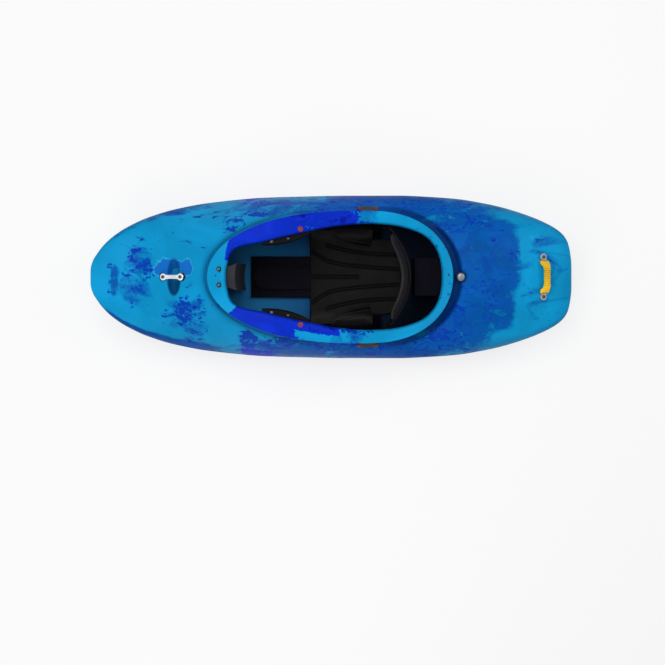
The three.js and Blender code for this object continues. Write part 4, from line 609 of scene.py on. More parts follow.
def marbled_plastic():
    """Rotomoulded plastic in several blues, with navy painted shade laid over it. Its pattern and the shade come
    from painted attributes and noise.
    """
    mat = bpy.data.materials.new("marbled_blue_plastic")
    tree = new_tree(mat)
    where = object_place(tree)

    def roughened(name, *noises):
        """A painted layer with its edge broken up by noises, each with its reach."""
        total = painted(tree, name)
        for noise, reach in noises:
            total = math_node(tree, "ADD", total, math_node(
                tree, "MULTIPLY", math_node(tree, "SUBTRACT", noise, 0.5), reach))
        return total

    def greys(value, *stops):
        return ramp_node(tree, value, [(place, (level,) * 3) for place, level in stops])

    def cut(value, low, high):
        return greys(value, (low, 0), (high, 1))

    def tints(value, base, *stops):
        return ramp_node(tree, value, [(place, tuple(c * share for c in base)) for place, share in stops])

    stretched = add(tree, "ShaderNodeMapping", {"Vector": where, "Scale": (0.55, 1.0, 0.8)}).outputs[0]
    swirl = noise_node(tree, stretched, 15.0, 6.0, 1.0)
    speckle = noise_node(tree, where, 90.0, 4.0, 0.4)
    cloud = noise_node(tree, where, 6.0, 4.0, 0.6)
    mottle = noise_node(tree, stretched, 44.0, 7.0, 1.2)
    strand = greys(noise_node(tree, where, 9.0, 5.0, 1.4), (0.455, 0), (0.497, 1), (0.505, 1), (0.55, 0))
    smooth = roughened("smooth_blue", (speckle, 0.3), (noise_node(tree, where, 30.0, 4.0), 1.5))
    tone = tints(cloud, CYAN, (0.32, 0.86), (0.66, 1.08))
    for share, over in (
            (cut(roughened("mid_blue", (swirl, 1.5), (speckle, 0.35)), 0.34, 0.66),
             tints(swirl, MID_BLUE, (0.3, 0.8), (0.7, 1.22))),
            (greys(smooth, (0.3, 0), (0.46, 0.5), (0.52, 0.5), (0.57, 0)), LIGHT_CYAN),
            (cut(smooth, 0.53, 0.57), SMOOTH_BLUE),
            (math_node(tree, "MULTIPLY", strand, painted(tree, "strands")), FLECK_BLUE),
            (cut(roughened("royal_flecks", (mottle, 2.7), (speckle, 1.5), (swirl, 0.8)), 0.58, 0.78), FLECK_BLUE),
            (cut(roughened("royal", (speckle, 1.1), (swirl, 1.7)), 0.45, 0.56),
             tints(swirl, ROYAL, (0.35, 1), (0.72, 1.35))),
            (cut(roughened("deep_blue", (mottle, 1.3), (swirl, 2.0)), 0.34, 0.66), DEEP_BLUE),
            # last layer: painted shade in navy
            (painted(tree, "shade_navy"), PAINTED_SHADE_NAVY)):
        tone = mix_node(tree, share, tone, over)
    skin = add(tree, "ShaderNodeBsdfPrincipled", {
        "Base Color": tone, "Roughness": uneven_gloss(tree, cloud, 0.34, 0.46), "Specular IOR Level": 0.035,
        "Normal": fine_bump(tree, noise_node(tree, where, 420.0, 3.0), 0.35, 0.00025)})
    add(tree, "ShaderNodeOutputMaterial", {0: skin.outputs[0]})
    return mat


# Patches of the moulding's pattern: middle x, y and half sizes in metres, then how strong
MID_PATCHES = [
    (-0.83, -0.02, 0.02, 0.075, 0.66), (-0.73, 0.05, 0.07, 0.07, 0.5), (-0.76, -0.05, 0.09, 0.07, 0.5),
    (-0.55, -0.16, 0.12, 0.11, 0.46), (-0.15, 0.265, 0.26, 0.05, 0.66), (-0.1, -0.27, 0.3, 0.05, 0.66),
    (0.2, 0.265, 0.3, 0.07, 0.95), (0.2, -0.27, 0.3, 0.07, 0.85), (0.47, 0.0, 0.22, 0.33, 0.95),
    (0.6, 0.05, 0.13, 0.24, 0.86), (0.63, -0.12, 0.08, 0.1, 0.8), (0.8, 0.0, 0.16, 0.25, 0.34)]
SMOOTH_PATCHES = [
    (-0.638, 0.034, 0.04, 0.042, 0.95), (-0.545, 0.036, 0.03, 0.034, 0.95), (-0.595, 0.048, 0.05, 0.022, 0.8)]
FLECK_PATCHES = [
    (-0.845, 0.0, 0.02, 0.07, 0.55), (-0.745, 0.085, 0.035, 0.045, 0.66), (-0.7, 0.03, 0.04, 0.05, 0.68),
    (-0.76, -0.02, 0.06, 0.09, 0.5), (-0.56, -0.13, 0.045, 0.065, 0.84), (-0.495, -0.13, 0.035, 0.06, 0.66),
    (-0.63, -0.155, 0.025, 0.04, 0.58), (-0.52, -0.225, 0.045, 0.035, 0.6), (-0.316, -0.24, 0.042, 0.05, 1.05),
    (-0.2, -0.25, 0.1, 0.035, 0.7), (-0.06, -0.255, 0.1, 0.03, 0.6), (-0.37, 0.195, 0.06, 0.035, 0.72),
    (-0.28, 0.235, 0.045, 0.022, 0.74), (-0.265, 0.28, 0.03, 0.018, 0.7), (-0.08, 0.27, 0.09, 0.03, 0.55),
    (0.12, 0.27, 0.12, 0.04, 0.5), (0.3, 0.235, 0.07, 0.03, 0.55), (0.44, 0.19, 0.07, 0.03, 0.62),
    (0.55, 0.21, 0.06, 0.03, 0.62), (0.68, 0.085, 0.04, 0.05, 0.5), (0.4, -0.22, 0.1, 0.05, 0.58),
    (0.47, -0.15, 0.05, 0.06, 0.55), (0.6, -0.06, 0.06, 0.08, 0.5), (0.1, -0.27, 0.12, 0.03, 0.5)]
STRAND_PATCHES = [(0.5, 0.0, 0.17, 0.3, 0.6), (0.2, 0.26, 0.25, 0.08, 0.5), (0.2, -0.26, 0.25, 0.08, 0.35)]
# Pale clouds in the deep blue below the seam: middle x, how far under the seam, and half sizes
DEEP_CLOUDS = [(0.07, 0.3, 0.055, 0.3), (0.37, 0.25, 0.085, 0.4)]
MARBLE_LAYERS = ("mid_blue", "royal_flecks", "royal", "shade_navy", "deep_blue", "smooth_blue", "strands")


def patch_strength(places, patches):
    """How strongly a set of soft oval patches covers each place."""
    total = np.zeros(len(places))
    for x, y, half_x, half_y, strength in patches:
        far = np.hypot((places[:, 0] - x) / half_x, (places[:, 1] - y) / half_y)
        total = np.maximum(total, strength * smooth_step(1.35, 0.45, far))
    return total


def paint(obj, **layers):
    for name, values in layers.items():
        layer = obj.data.attributes.new(name, "FLOAT", "POINT")
        layer.data.foreach_set("value", np.asarray(values, np.float32))


def between(x, low, high, soft=0.03):
    """One from low to high, fading to nothing over soft outside them."""
    return smooth_step(low - soft, low, x) * smooth_step(high + soft, high, x)


def hill(value, middle, width):
    return np.exp(-((value - middle) / width) ** 2)


def paint_hull(hull):
    """Layers of the hull's pattern, and soft painted shade in its groove and recess, round the rim's outside,
    along the stern panel's edges and on the side decks.
    """
    co = points_of(hull)
    x, y, z = co.T
    seam, keel = seam_at(x), keel_at(x)
    top, low, port = z > seam + 0.001, z <= seam + 0.001, y < 0
    beside = np.abs(y) / half_breadth_at(x)
    under = (seam - z) / np.maximum(seam - keel, 0.01)
    on_edge = smooth_step(0.88, 0.93, beside) * top
    edge_band = between(x, -0.8, -0.5, 0.12) * smooth_step(0.84, 0.93, beside) * top
    mid = np.maximum(np.where(top, patch_strength(co, MID_PATCHES), 0), edge_band * np.where(port, 0.95, 0.55))
    mid = np.where(low, 0.55 * between(x, -0.7, 0.7, 0.1), mid)
    side = smooth_step(-0.37, -0.33, x) * smooth_step(-0.14, -0.3, x) * on_edge
    lower_side = low * smooth_step(-0.475, -0.41, x) * smooth_step(-0.08, -0.26, x)
    royal = np.maximum(side * np.where(port, 0.95, 0.5), lower_side * 1.1)
    flecks = np.maximum.reduce([
        np.where(top, patch_strength(co, FLECK_PATCHES), 0),
        smooth_step(0.7, 0.85, beside) * top * 0.5 * between(x, -0.25, 0.5, 0.1),
        low * 0.72 * between(x, -0.73, -0.46, 0.04) * smooth_step(0.02, 0.16, under),
        low * 0.5 * between(x, 0.5, 0.66, 0.05)])
    deep = low * between(x, -0.03, 0.5, 0.16) * smooth_step(0.0, 0.03, under)
    deep *= 0.9 - 0.5 * between(under, 0.8, 1.2, 0.05) * (x > -0.05)
    for cloud_x, cloud_under, half_x, half_under in DEEP_CLOUDS:
        deep *= 1 - 0.62 * hill(x, cloud_x, half_x) * hill(under, cloud_under, half_under)
    # Painted shade, not pattern: in the groove behind the rim, under the rim's overhang, along the stern panel's
    # raised edges, in the grip recess and on the steep side decks
    near, at, _ = off_line(neck_line, x, y)
    groove = smooth_step(0.15, 0.7, groove_pull[at]) * top * (near > -0.01)
    groove = groove * smooth_step(groove_reach[at] + 0.006, groove_toe[at] + 0.006, near)
    outside = off_line(rim_edge, x, y)[0]
    ring = hill(outside, 0.011, 0.0075) * 0.42 + hill(outside, 0.014, 0.014) * 0.34
    lines = hill(panel_across(x, y), 0.103, 0.0035) * smooth_step(PANEL_FRONT_X, 0.77, x) * top
    recess = np.hypot((x - RECESS_X) / 0.0275, y / 0.0745)
    bowl = smooth_step(1.05, 0.86, recess) * top * (0.5 + 0.35 * smooth_step(0.0, -0.03, y))
    navy = np.maximum.reduce([groove * 0.8, ring * smooth_step(0.05, -0.25, x) * top, lines * 0.22, bowl,
                              0.3 * smooth_step(0.86, 1, beside) * top])
    paint(hull, mid_blue=mid, royal_flecks=flecks, royal=royal, shade_navy=navy, deep_blue=deep,
          smooth_blue=np.where(top, patch_strength(co, SMOOTH_PATCHES), 0),
          strands=np.where(top, patch_strength(co, STRAND_PATCHES), 0))


def retint(mat, tint):
    """Passes a finish's base colour through tint, which is given the tree and the colour."""
    tree = mat.node_tree
    base = next(n for n in tree.nodes if n.type == "BSDF_PRINCIPLED").inputs["Base Color"]
    tree.links.new(tint(tree, base.links[0].from_socket), base)
    return mat


def sewn_cloth(name, tone):
    """Neoprene cloth with painted shade in its sewn channels."""
    cloth = shade(name, tone, 0.9, grain=0.00035, grain_scale=1500.0, sheen=0.05, gloss=0.06)
    # the near-black is painted shade in the channels
    return retint(cloth, lambda tree, plain: mix_node(
        tree, painted(tree, "sewn_channel"), plain, (0.0012, 0.0012, 0.0013)))


def ribbed_grip_plastic():
    """Yellow plastic with painted shade in lines between the ribs of the grip."""
    rib_pitch, ribbed_half = 0.0078, 0.032

    def ribs(tree, plain):
        y = add(tree, "ShaderNodeSeparateXYZ", {0: object_place(tree)}).outputs["Y"]
        wave = math_node(tree, "COSINE", math_node(tree, "MULTIPLY", y, 2 * math.pi / rib_pitch))
        inner = math_node(tree, "LESS_THAN", math_node(tree, "ABSOLUTE", y), ribbed_half)
        line = math_node(tree, "MULTIPLY", ramp_node(tree, wave, [(0.55, BLACK), (0.92, WHITE)]), inner)
        # dark yellow is painted shade between the ribs
        return mix_node(tree, math_node(tree, "MULTIPLY", line, 0.75), plain, colour(128, 98, 14))
    return retint(shade("yellow_grip_plastic", colour(232, 186, 30), 0.45, grain=0.00012, coat=0.08), ribs)


def inner_shell_painted_shade():
    """The moulding's inner face: the hull's plastic darkened as painted shade, dim teal forward of the seat, near
    black behind it.
    """
    def along(tree, _):
        x = add(tree, "ShaderNodeSeparateXYZ", {0: object_place(tree)}).outputs["X"]
        run = add(tree, "ShaderNodeMapRange", {"Value": x, "From Min": -0.3, "From Max": 0.3})
        return ramp_node(tree, run.outputs[0], [
            (0.0, colour(34, 118, 172)), (0.3, colour(24, 88, 140)), (0.55, colour(8, 44, 76)),
            (0.9, colour(0, 14, 34))])
    plain = shade("shaded_inner_plastic", colour(10, 46, 72), 0.6, grain=0.0002, grain_scale=420.0, gloss=0.06)
    return retint(plain, along)


def paint_rim(rim):
    """Royal blue on both sides of the rim's front, with flecks and clouds at its ends, and painted shade on its
    faces below the top.
    """
    x, y, z = points_of(rim).T
    far, at, _ = off_line(rim_edge, x, y)
    across = np.clip(-far / rim_widths[at], 0, 1)
    starboard = smooth_step(-0.392, -0.38, x - (0.5 - across) * 0.02) * smooth_step(0.17, 0.03, x)
    port = (y < 0) * smooth_step(-0.362, -0.35, x + (0.5 - across) * 0.04) * smooth_step(0.08, -0.03, x)
    port = port * np.where(x > -0.2, np.maximum(smooth_step(0.36, 0.56, across), smooth_step(-0.1, -0.16, x)), 1)
    royal = np.maximum(smooth_step(0.055, 0.07, y) * starboard, port)
    deep = np.where(y > 0, 0.45 * between(x, -0.12, 0.1, 0.08), 0.2 * between(x, -0.1, 0.0, 0.05))
    # painted shade on the faces below the rim's top, stronger on its inner side
    lip = smooth_step(0.004, 0.012, rim_top_at(x) - z)
    paint(rim, mid_blue=np.where(y > 0, 0.55 * between(x, 0.07, 0.13, 0.1), 0.35 * between(x, 0.0, 0.12, 0.04)),
          royal_flecks=0.62 * between(x, 0.02, 0.15, 0.05) * smooth_step(0.3, 0.9, across),
          royal=royal, shade_navy=lip * np.where(across > 0.5, 0.35, 0.15) * (across < 0.96),
          deep_blue=deep * royal, smooth_blue=0 * x, strands=0 * x)


# Fittings
BAR_FOOT = 0.039


def join_body(obj, node):
    """A piece rides on the body of the CAD node it stands for."""
    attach(obj, cad_nodes[node]["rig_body"])
    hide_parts(node)
    return obj


def use(obj, mat):
    obj.data.materials.clear()
    obj.data.materials.append(mat)
    return obj


def cad_copy(node, name):
    """The CAD node's mesh under a new name, with its seams closed and its flat faces joined."""
    obj = linked(name, cad_nodes[node].data.copy())
    shape = bmesh.new()
    shape.from_mesh(obj.data)
    bmesh.ops.remove_doubles(shape, verts=shape.verts, dist=2e-5)
    bmesh.ops.dissolve_limit(shape, angle_limit=math.radians(0.6), verts=shape.verts, edges=shape.edges)
    shape.to_mesh(obj.data)
    shape.free()
    obj.data.name = name
    return obj


def rounded_copy(node, name, mat, slot, reach):
    """A fitting with the CAD's shape and softly rounded edges."""
    obj = cad_copy(node, name)
    bevel(obj, reach, 3, 28)
    finish_shading(obj, True, 38)
    return join_body(use(obj, mat), node)


def turned_place(node):
    """Centre, outward axis, heights and radii of a turned CAD piece's corners."""
    co = np.unique(np.round(points_of(cad_nodes[node]), 7), axis=0)
    middle = co.mean(0)
    values, ways = np.linalg.eigh(np.cov((co - middle).T))
    gaps = [abs(values[1] - values[2]), abs(values[0] - values[2]), abs(values[0] - values[1])]
    axis = ways[:, int(np.argmin(gaps))]
    heights = (co - middle) @ axis
    radii = np.linalg.norm(co - middle - heights[:, None] * axis, axis=1)
    tops = radii[heights > heights.max() - 0.0003].max(), radii[heights < heights.min() + 0.0003].max()
    if tops[1] > tops[0] + 1e-5 or (abs(tops[0] - tops[1]) < 1e-5 and axis[2] < 0):
        axis, heights = -axis, -heights
    return middle, axis, heights, radii


def lathe(name, profile, middle, axis, sides=56, closed=False):
    """Turned piece. A profile point is a radius, a height and how six-sided its ring is."""
    middle, axis = Vector(middle), Vector(axis).normalized()
    side = axis.cross(Vector((0, 1, 0)) if abs(axis.y) < 0.9 else Vector((1, 0, 0))).normalized()
    over = axis.cross(side)
    points, rings = [], []
    for radius, height, six in profile:
        ring = []
        for i in range(sides if radius > 1e-7 else 1):
            angle = 2 * math.pi * i / sides
            off = (angle % (math.pi / 3)) - math.pi / 6
            reach = radius * (1 - six + six * math.cos(math.pi / 6) / math.cos(off) / math.cos(math.pi / 12))
            ring.append(len(points))
            points.append(middle + axis * height + (side * math.cos(angle) + over * math.sin(angle)) * reach)
        rings.append(ring)
    faces = []
    for a, b in zip(rings, rings[1:] + (rings[:1] if closed else [])):
        for i in range(sides):
            j = i + 1
            corners = (a[i % len(a)], a[j % len(a)], b[j % len(b)], b[i % len(b)])
            faces.append(tuple(dict.fromkeys(corners)))
    obj = mesh_object(name, points, faces)
    face_outward(obj)
    finish_shading(obj, True, 34)
    return obj


def button_bolt(node, name, mat, slot):
    """Button head with a hexagon socket, on its shank."""
    middle, axis, heights, radii = turned_place(node)
    tip, top = heights.min(), heights.max()
    head = heights > top - 0.005
    reach, shank = radii[head].max(), radii[heights < tip + 0.0003].max()
    base = heights[head & (radii > reach * 0.98)].min()
    tall, socket = top - base, reach * 0.44
    dome = [(reach * math.cos(a), base + tall * 0.3 + tall * 0.7 * math.sin(a), 0)
            for a in np.linspace(0, 0.92, 7)]
    rim = dome[-1][1]
    profile = [(0, tip, 0), (shank * 0.8, tip, 0), (shank, tip + 0.0006, 0), (shank, base, 0),
               (reach * 0.96, base, 0), (reach, base + tall * 0.08, 0), *dome,
               (socket * 1.12, rim + tall * 0.02, 0), (socket, rim - tall * 0.05, 0.9),
               (socket, base + tall * 0.25, 1), (socket * 0.3, base + tall * 0.18, 0), (0, base + tall * 0.16, 0)]
    return join_body(use(lathe(name, profile, middle, axis, 48), mat), node)


def washer(node, name, mat, slot):
    """Flat ring with rounded edges and a shallow dish."""
    middle, axis, heights, radii = turned_place(node)
    low, top, inner, outer = heights.min(), heights.max(), radii.min(), radii.max() * 0.995
    soft, dish = min((top - low) * 0.4, 0.0009), 0.0002
    profile = [(inner, low, 0), (outer - soft, low, 0), (outer, low + soft, 0), (outer, top - soft, 0),
               (outer - soft * 0.4, top - soft * 0.3, 0), (outer - soft * 1.4, top, 0),
               ((inner + outer) / 2, top - dish, 0), (inner + soft, top, 0), (inner, top - soft, 0)]
    return join_body(use(lathe(name, profile, middle, axis, 56, closed=True), mat), node)


def moulded_seat(name, centre, axis, radius, rise):
    """Seat of the hull's own plastic under a fitting, flared into the deck."""
    profile = [(0, -0.005, 0), (radius + 0.007, -0.005, 0), (radius + 0.0065, -0.0006, 0),
               (radius + 0.003, 0.0006, 0), (radius + 0.0012, 0.0018, 0), (radius + 0.0004, rise - 0.0016, 0),
               (radius - 0.0006, rise - 0.0004, 0), (radius - 0.002, rise, 0), (0, rise, 0)]
    obj = use(lathe(name, profile, centre, axis, 64), plastic)
    co = points_of(obj)
    layers = dict.fromkeys(MARBLE_LAYERS, np.zeros(len(co)))
    paint(obj, **layers | {"smooth_blue": patch_strength(co, SMOOTH_PATCHES)})
    return join_body(obj, "hull_shell")


def deck_normal(x, y):
    step = 0.006
    rise_x = (plain_deck(x + step, y) - plain_deck(x - step, y)) / (2 * step)
    rise_y = (plain_deck(x, y + step) - plain_deck(x, y - step)) / (2 * step)
    return Vector((-float(rise_x), -float(rise_y), 1)).normalized()


def build_bow_bar(mat, feet, along, normal):
    """Flat steel bar with round eyes and a waist, standing on its two seats."""
    eye_round, eye_run, lift, thick = 0.0132, BAR_FOOT, 0.0073, 0.005
    run = -0.0522 * np.cos(np.linspace(0, math.pi, 121))
    off = np.clip(1 - ((np.abs(run) - eye_run) / eye_round) ** 2, 0, 1)
    eye = eye_round * np.sqrt(off) * (np.abs(run) > 0.026)
    neck = (0.0072 + 0.0018 * (run / eye_run) ** 2) * (np.abs(run) < 0.045)
    gap = np.clip(0.004 - np.abs(eye - neck), 0, None) / 0.004
    half = np.where(np.abs(run) > 0.0455, eye, np.maximum(eye, neck) + gap * gap * 0.001)
    outline = [(r, h) for r, h in zip(run, half)] + [(r, -h) for r, h in zip(run[-2:0:-1], half[-2:0:-1])]
    shape = bmesh.new()
    middle, across = (feet[0] + feet[1]) / 2, normal.cross(along)
    base = [shape.verts.new(middle + along * r + across * h + normal * lift) for r, h in outline]
    top = bmesh.ops.extrude_face_region(shape, geom=[shape.faces.new(base)])
    for v in [g for g in top["geom"] if isinstance(g, bmesh.types.BMVert)]:
        v.co += normal * thick
    bmesh.ops.recalc_face_normals(shape, faces=shape.faces)
    obj = linked("bow_safety_bar_steel", bpy.data.meshes.new("bow_safety_bar_steel"))
    shape.to_mesh(obj.data)
    shape.free()
    bevel(obj, 0.0016, 4, 50)
    finish_shading(obj, True, 40)
    return join_body(use(obj, mat), "bow_safety_bar")


def foot_pad(name, node, centre, normal, mat):
    """Thin rubber pad that shows as a dark line round a fitting's foot."""
    profile = [(0, 0.0052, 0), (0.0148, 0.0052, 0), (0.0154, 0.0058, 0), (0.0154, 0.0066, 0),
               (0.0148, 0.0073, 0), (0, 0.0073, 0)]
    return join_body(use(lathe(name, profile, centre, normal, 56), mat), node)


# Padding: cloth blown up a little over its foam, then sewn
CUSHION_CAP, CUSHION_PRESSURE, CLOTH_STEPS = 0.0022, 4.0, 20
CHANNEL_DEPTH, CHANNEL_WIDTH = 0.003, 0.0034
STITCH_PITCH, STITCH_THICK, STITCH_LIFT = 0.0042, 0.00045, 0.0002


def add_apron(obj):
    """The cover's flap that runs back from the seat to below the backband."""
    co = points_of(obj)
    rear = co[(co[:, 0] > 0.15) & (np.abs(co[:, 1]) < 0.08)]
    low, high = rear[:, 2].min() + 0.004, rear[:, 2].max()
    shape = bmesh.new()
    shape.from_mesh(obj.data)
    rows = []
    for x, half, sink in ((0.15, 0.15, 0), (0.2, 0.152, 0.001), (0.25, 0.14, 0.003), (0.272, 0.12, 0.006)):
        rows.append([shape.verts.new((x, y, z)) for z, ys in (
            (low, (-half, 0, half)), (high - sink, (half, 0, -half))) for y in ys])
    new = [shape.faces.new((a[i], a[(i + 1) % 6], b[(i + 1) % 6], b[i]))
           for a, b in zip(rows, rows[1:]) for i in range(6)]
    new += [shape.faces.new(rows[0][::-1]), shape.faces.new(rows[-1])]
    bmesh.ops.recalc_face_normals(shape, faces=new)
    shape.to_mesh(obj.data)
    shape.free()


def swell(obj):
    """Blows the cloth up over its foam, and caps how far each point moves."""
    rest = points_of(obj)
    cloth = add_modifier(obj, "CLOTH")
    for key, value in (("quality", 4), ("mass", 0.25), ("tension_stiffness", 12), ("compression_stiffness", 12),
                       ("bending_stiffness", 0.4), ("use_pressure", True),
                       ("uniform_pressure_force", CUSHION_PRESSURE)):
        setattr(cloth.settings, key, value)
    cloth.settings.effector_weights.gravity = 0
    cloth.collision_settings.use_collision = False
    cloth.collision_settings.use_self_collision = False
    cloth.point_cache.frame_start, cloth.point_cache.frame_end = 1, CLOTH_STEPS
    scene = bpy.context.scene
    for step in range(1, CLOTH_STEPS + 1):
        scene.frame_set(step)
    bake_modifiers(obj)
    scene.frame_set(1)
    moved = points_of(obj) - rest
    far = np.linalg.norm(moved, axis=1, keepdims=True)
    moved *= np.minimum(1, CUSHION_CAP / np.maximum(far, 1e-9))
    obj.data.vertices.foreach_set("co", (rest + moved).ravel())


def cushion(node, name, mat, grain, apron=False):
    """A pad's cover: the CAD's form, remeshed, swollen as cloth and smoothed."""
    obj = cad_copy(node, name)
    if apron:
        add_apron(obj)
    add_modifier(obj, "REMESH", mode="VOXEL", voxel_size=grain)
    bake_modifiers(obj)
    swell(obj)
    add_modifier(obj, "SMOOTH", factor=0.5, iterations=3)
    add_modifier(obj, "SUBSURF", levels=1, render_levels=1)
    bake_modifiers(obj)
    finish_shading(obj)
    return join_body(use(obj, mat), node)


def sew(obj, lines):
    """Pulls a pad's surface down along its sewn lines, given in plan, and paints shade there."""
    co = points_of(obj)
    normals = np.array([v.normal for v in obj.data.vertices])
    near = np.full(len(co), 1.0)
    for line in lines:
        for a, b in zip(line, line[1:]):
            edge = b - a
            t = np.clip(((co[:, :2] - a) @ edge) / (edge @ edge), 0, 1)
            near = np.minimum(near, np.linalg.norm(co[:, :2] - a - t[:, None] * edge, axis=1))
    pull = hill(near, 0, CHANNEL_WIDTH) * np.clip(normals[:, 2] * 2.5, 0, 1)
    co -= normals * (CHANNEL_DEPTH * pull)[:, None]
    obj.data.vertices.foreach_set("co", co.ravel())
    obj.data.update()
    # painted shade in the channels
    paint(obj, sewn_channel=np.clip(pull * 1.25, 0, 1))


def spaced(line, pitch):
    """Points at even spacing along a plan line."""
    line = np.array(line, float)
    run = np.concatenate([[0], np.cumsum(np.linalg.norm(np.diff(line, axis=0), axis=1))])
    want = np.linspace(0, run[-1], max(int(run[-1] / pitch), 2))
    return np.stack([np.interp(want, run, line[:, k]) for k in (0, 1)], 1)


def stitch_nodes(mat):
    """Geometry nodes that lay one short thread after another along sewn lines."""
    tree = bpy.data.node_groups.new("sewn_threads", "GeometryNodeTree")
    new_socket = tree.interface.new_socket
    new_socket("Lines", in_out="INPUT", socket_type="NodeSocketGeometry")
    span = new_socket("Pitch", in_out="INPUT", socket_type="NodeSocketFloat")
    girth = new_socket("Thickness", in_out="INPUT", socket_type="NodeSocketFloat")
    new_socket("Threads", in_out="OUTPUT", socket_type="NodeSocketGeometry")
    into = add(tree, "NodeGroupInput").outputs
    curve = add(tree, "GeometryNodeMeshToCurve", {0: into["Lines"]})
    points = add(tree, "GeometryNodeCurveToPoints", {
        "Curve": curve.outputs[0], "Length": into["Pitch"]}, mode="LENGTH").outputs
    ball = add(tree, "GeometryNodeMeshUVSphere", {"Segments": 8, "Rings": 6, "Radius": 1.0})
    size = add(tree, "ShaderNodeCombineXYZ", {
        0: into["Thickness"], 1: into["Thickness"], 2: math_node(tree, "MULTIPLY", into["Pitch"], 0.4)})
    place = add(tree, "GeometryNodeInstanceOnPoints", {
        "Points": points["Points"], "Rotation": points["Rotation"], "Instance": ball.outputs["Mesh"],
        "Scale": size.outputs[0]})
    real = add(tree, "GeometryNodeRealizeInstances", {0: place.outputs[0]})
    coloured = add(tree, "GeometryNodeSetMaterial", {"Geometry": real.outputs[0], "Material": mat})
    add(tree, "NodeGroupOutput", {0: coloured.outputs[0]})
    return tree, {span.identifier: STITCH_PITCH, girth.identifier: STITCH_THICK}


def lay_stitches(name, pad, lines, nodes, values, mat):
    """Threads laid on a pad along plan lines, found by looking down on it."""
    bpy.context.view_layer.update()
    points, edges = [], []
    for line in lines:
        first = len(points)
        for x, y in spaced(line, 0.003):
            hit, spot, normal, _ = pad.ray_cast(Vector((x, y, 0.6)), Vector((0, 0, -1)))
            if hit:
                points.append(spot + normal * STITCH_LIFT)
        edges += [(i, i + 1) for i in range(first, len(points) - 1)]
    mesh = bpy.data.meshes.new(name)
    mesh.from_pydata(points, edges, [])
    obj = linked(name, mesh)
    threads = add_modifier(obj, "NODES", node_group=nodes)
    for key, value in values.items():
        threads[key] = value
    bake_modifiers(obj)
    finish_shading(obj)
    return use(obj, mat)


def sewn(pad, name, seams, gap=0.005):
    """Sinks a double row of channels into a pad along its seams and lays thread in them."""
    rows = []
    for seam in seams:
        line = spaced(seam, 0.006)
        way = np.gradient(line, axis=0)
        way /= np.linalg.norm(way, axis=1, keepdims=True)
        across = np.stack([-way[:, 1], way[:, 0]], 1)
        rows += [line + across * gap, line - across * gap]
    sew(pad, rows)
    threads = lay_stitches(name, pad, rows, thread_nodes, thread_values, thread)
    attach(threads, pad["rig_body"])
    return threads


# The kayak, piece by piece
plastic = marbled_plastic()
inner_plastic_painted_shade = inner_shell_painted_shade()
steel = shade("polished_steel", colour(226, 228, 231), 0.2, 1.0, grain=0.00003)
dark_steel = shade("dark_bolt_steel", colour(74, 76, 82), 0.34, 0.85)
dome_steel = shade("grey_bolt_steel", colour(96, 100, 104), 0.34, 0.9)
alloy = shade("anodised_alloy", colour(120, 124, 132), 0.36, 0.9)
grip_plastic = ribbed_grip_plastic()
plate_plastic = shade("grey_plate_plastic", colour(60, 62, 68), 0.48, grain=0.0001)
pale_plate = shade("pale_grey_plate", colour(158, 160, 164), 0.42, grain=0.0001)
dark_plastic = shade("black_moulded_plastic", colour(12, 12, 14), 0.46, grain=0.0001, gloss=0.07)
rubber = shade("black_washer_rubber", colour(20, 20, 22), 0.62, grain=0.0001)
red_plastic = shade("red_washer_plastic", colour(176, 52, 42), 0.46, grain=0.0001)
foam = shade("dark_closed_cell_foam", colour(22, 20, 21), 0.85, grain=0.0005, grain_scale=700.0, gloss=0.06)
# The rear pillar's foam: the pillar foam darkened as painted shade
rear_foam_painted_shade = shade("shaded_rear_foam", colour(13, 11, 20), 0.85, grain=0.0005, grain_scale=700.0, gloss=0.05)
bracket_foam = shade("grey_bracket_plastic", colour(50, 51, 57), 0.7, grain=0.0003, grain_scale=700.0, gloss=0.06)
tray_plastic = shade("dark_tray_plastic", colour(5, 4, 15), 0.55, grain=0.0003, grain_scale=500.0, gloss=0.05)
cloth_black = sewn_cloth("black_neoprene_cloth", colour(31, 31, 31))
# Cloth of the hip and thigh pads: the seat's neoprene darkened as painted shade, as the raised pads catch more
# light
side_cloth_painted_shade = sewn_cloth("black_side_pad_cloth_painted_shade", colour(9, 9, 10))
cloth_plum = sewn_cloth("plum_grey_backband_cloth", colour(12, 11, 18))
thread = shade("black_sewing_thread", colour(6, 6, 7), 0.8)

# The whole moulding: hull, deck, rim
hull = build_hull_skin(plastic, inner_plastic_painted_shade)
paint_hull(hull)
join_body(hull, "hull_shell")
rim = build_rim()
paint_rim(rim)
join_body(use(rim, plastic), "hull_shell")


SIDES = (("left", -1), ("right", 1))
bar_feet = [Vector((x, 0, float(plain_deck(x, 0.0)))) for x in (RECESS_X - BAR_FOOT, RECESS_X + BAR_FOOT)]
bar_along = (bar_feet[1] - bar_feet[0]).normalized()
bar_normal = Vector((-bar_along.z, 0, bar_along.x))
for end, foot in zip(("front", "rear"), bar_feet):
    moulded_seat(f"bow_bar_seat_{end}", foot, bar_normal, 0.0145, 0.0058)
    foot_pad(f"bow_bar_foot_pad_{end}", "bow_safety_bar", foot, bar_normal, rubber)
GRIP_X, GRIP_BOLT_Y = station_x(0.9335), 0.076
for side, way in SIDES:
    y = way * GRIP_BOLT_Y
    moulded_seat(f"stern_handle_seat_{side}", (GRIP_X, y, float(plain_deck(GRIP_X, y))),
                 deck_normal(GRIP_X, y), 0.0128, 0.004)

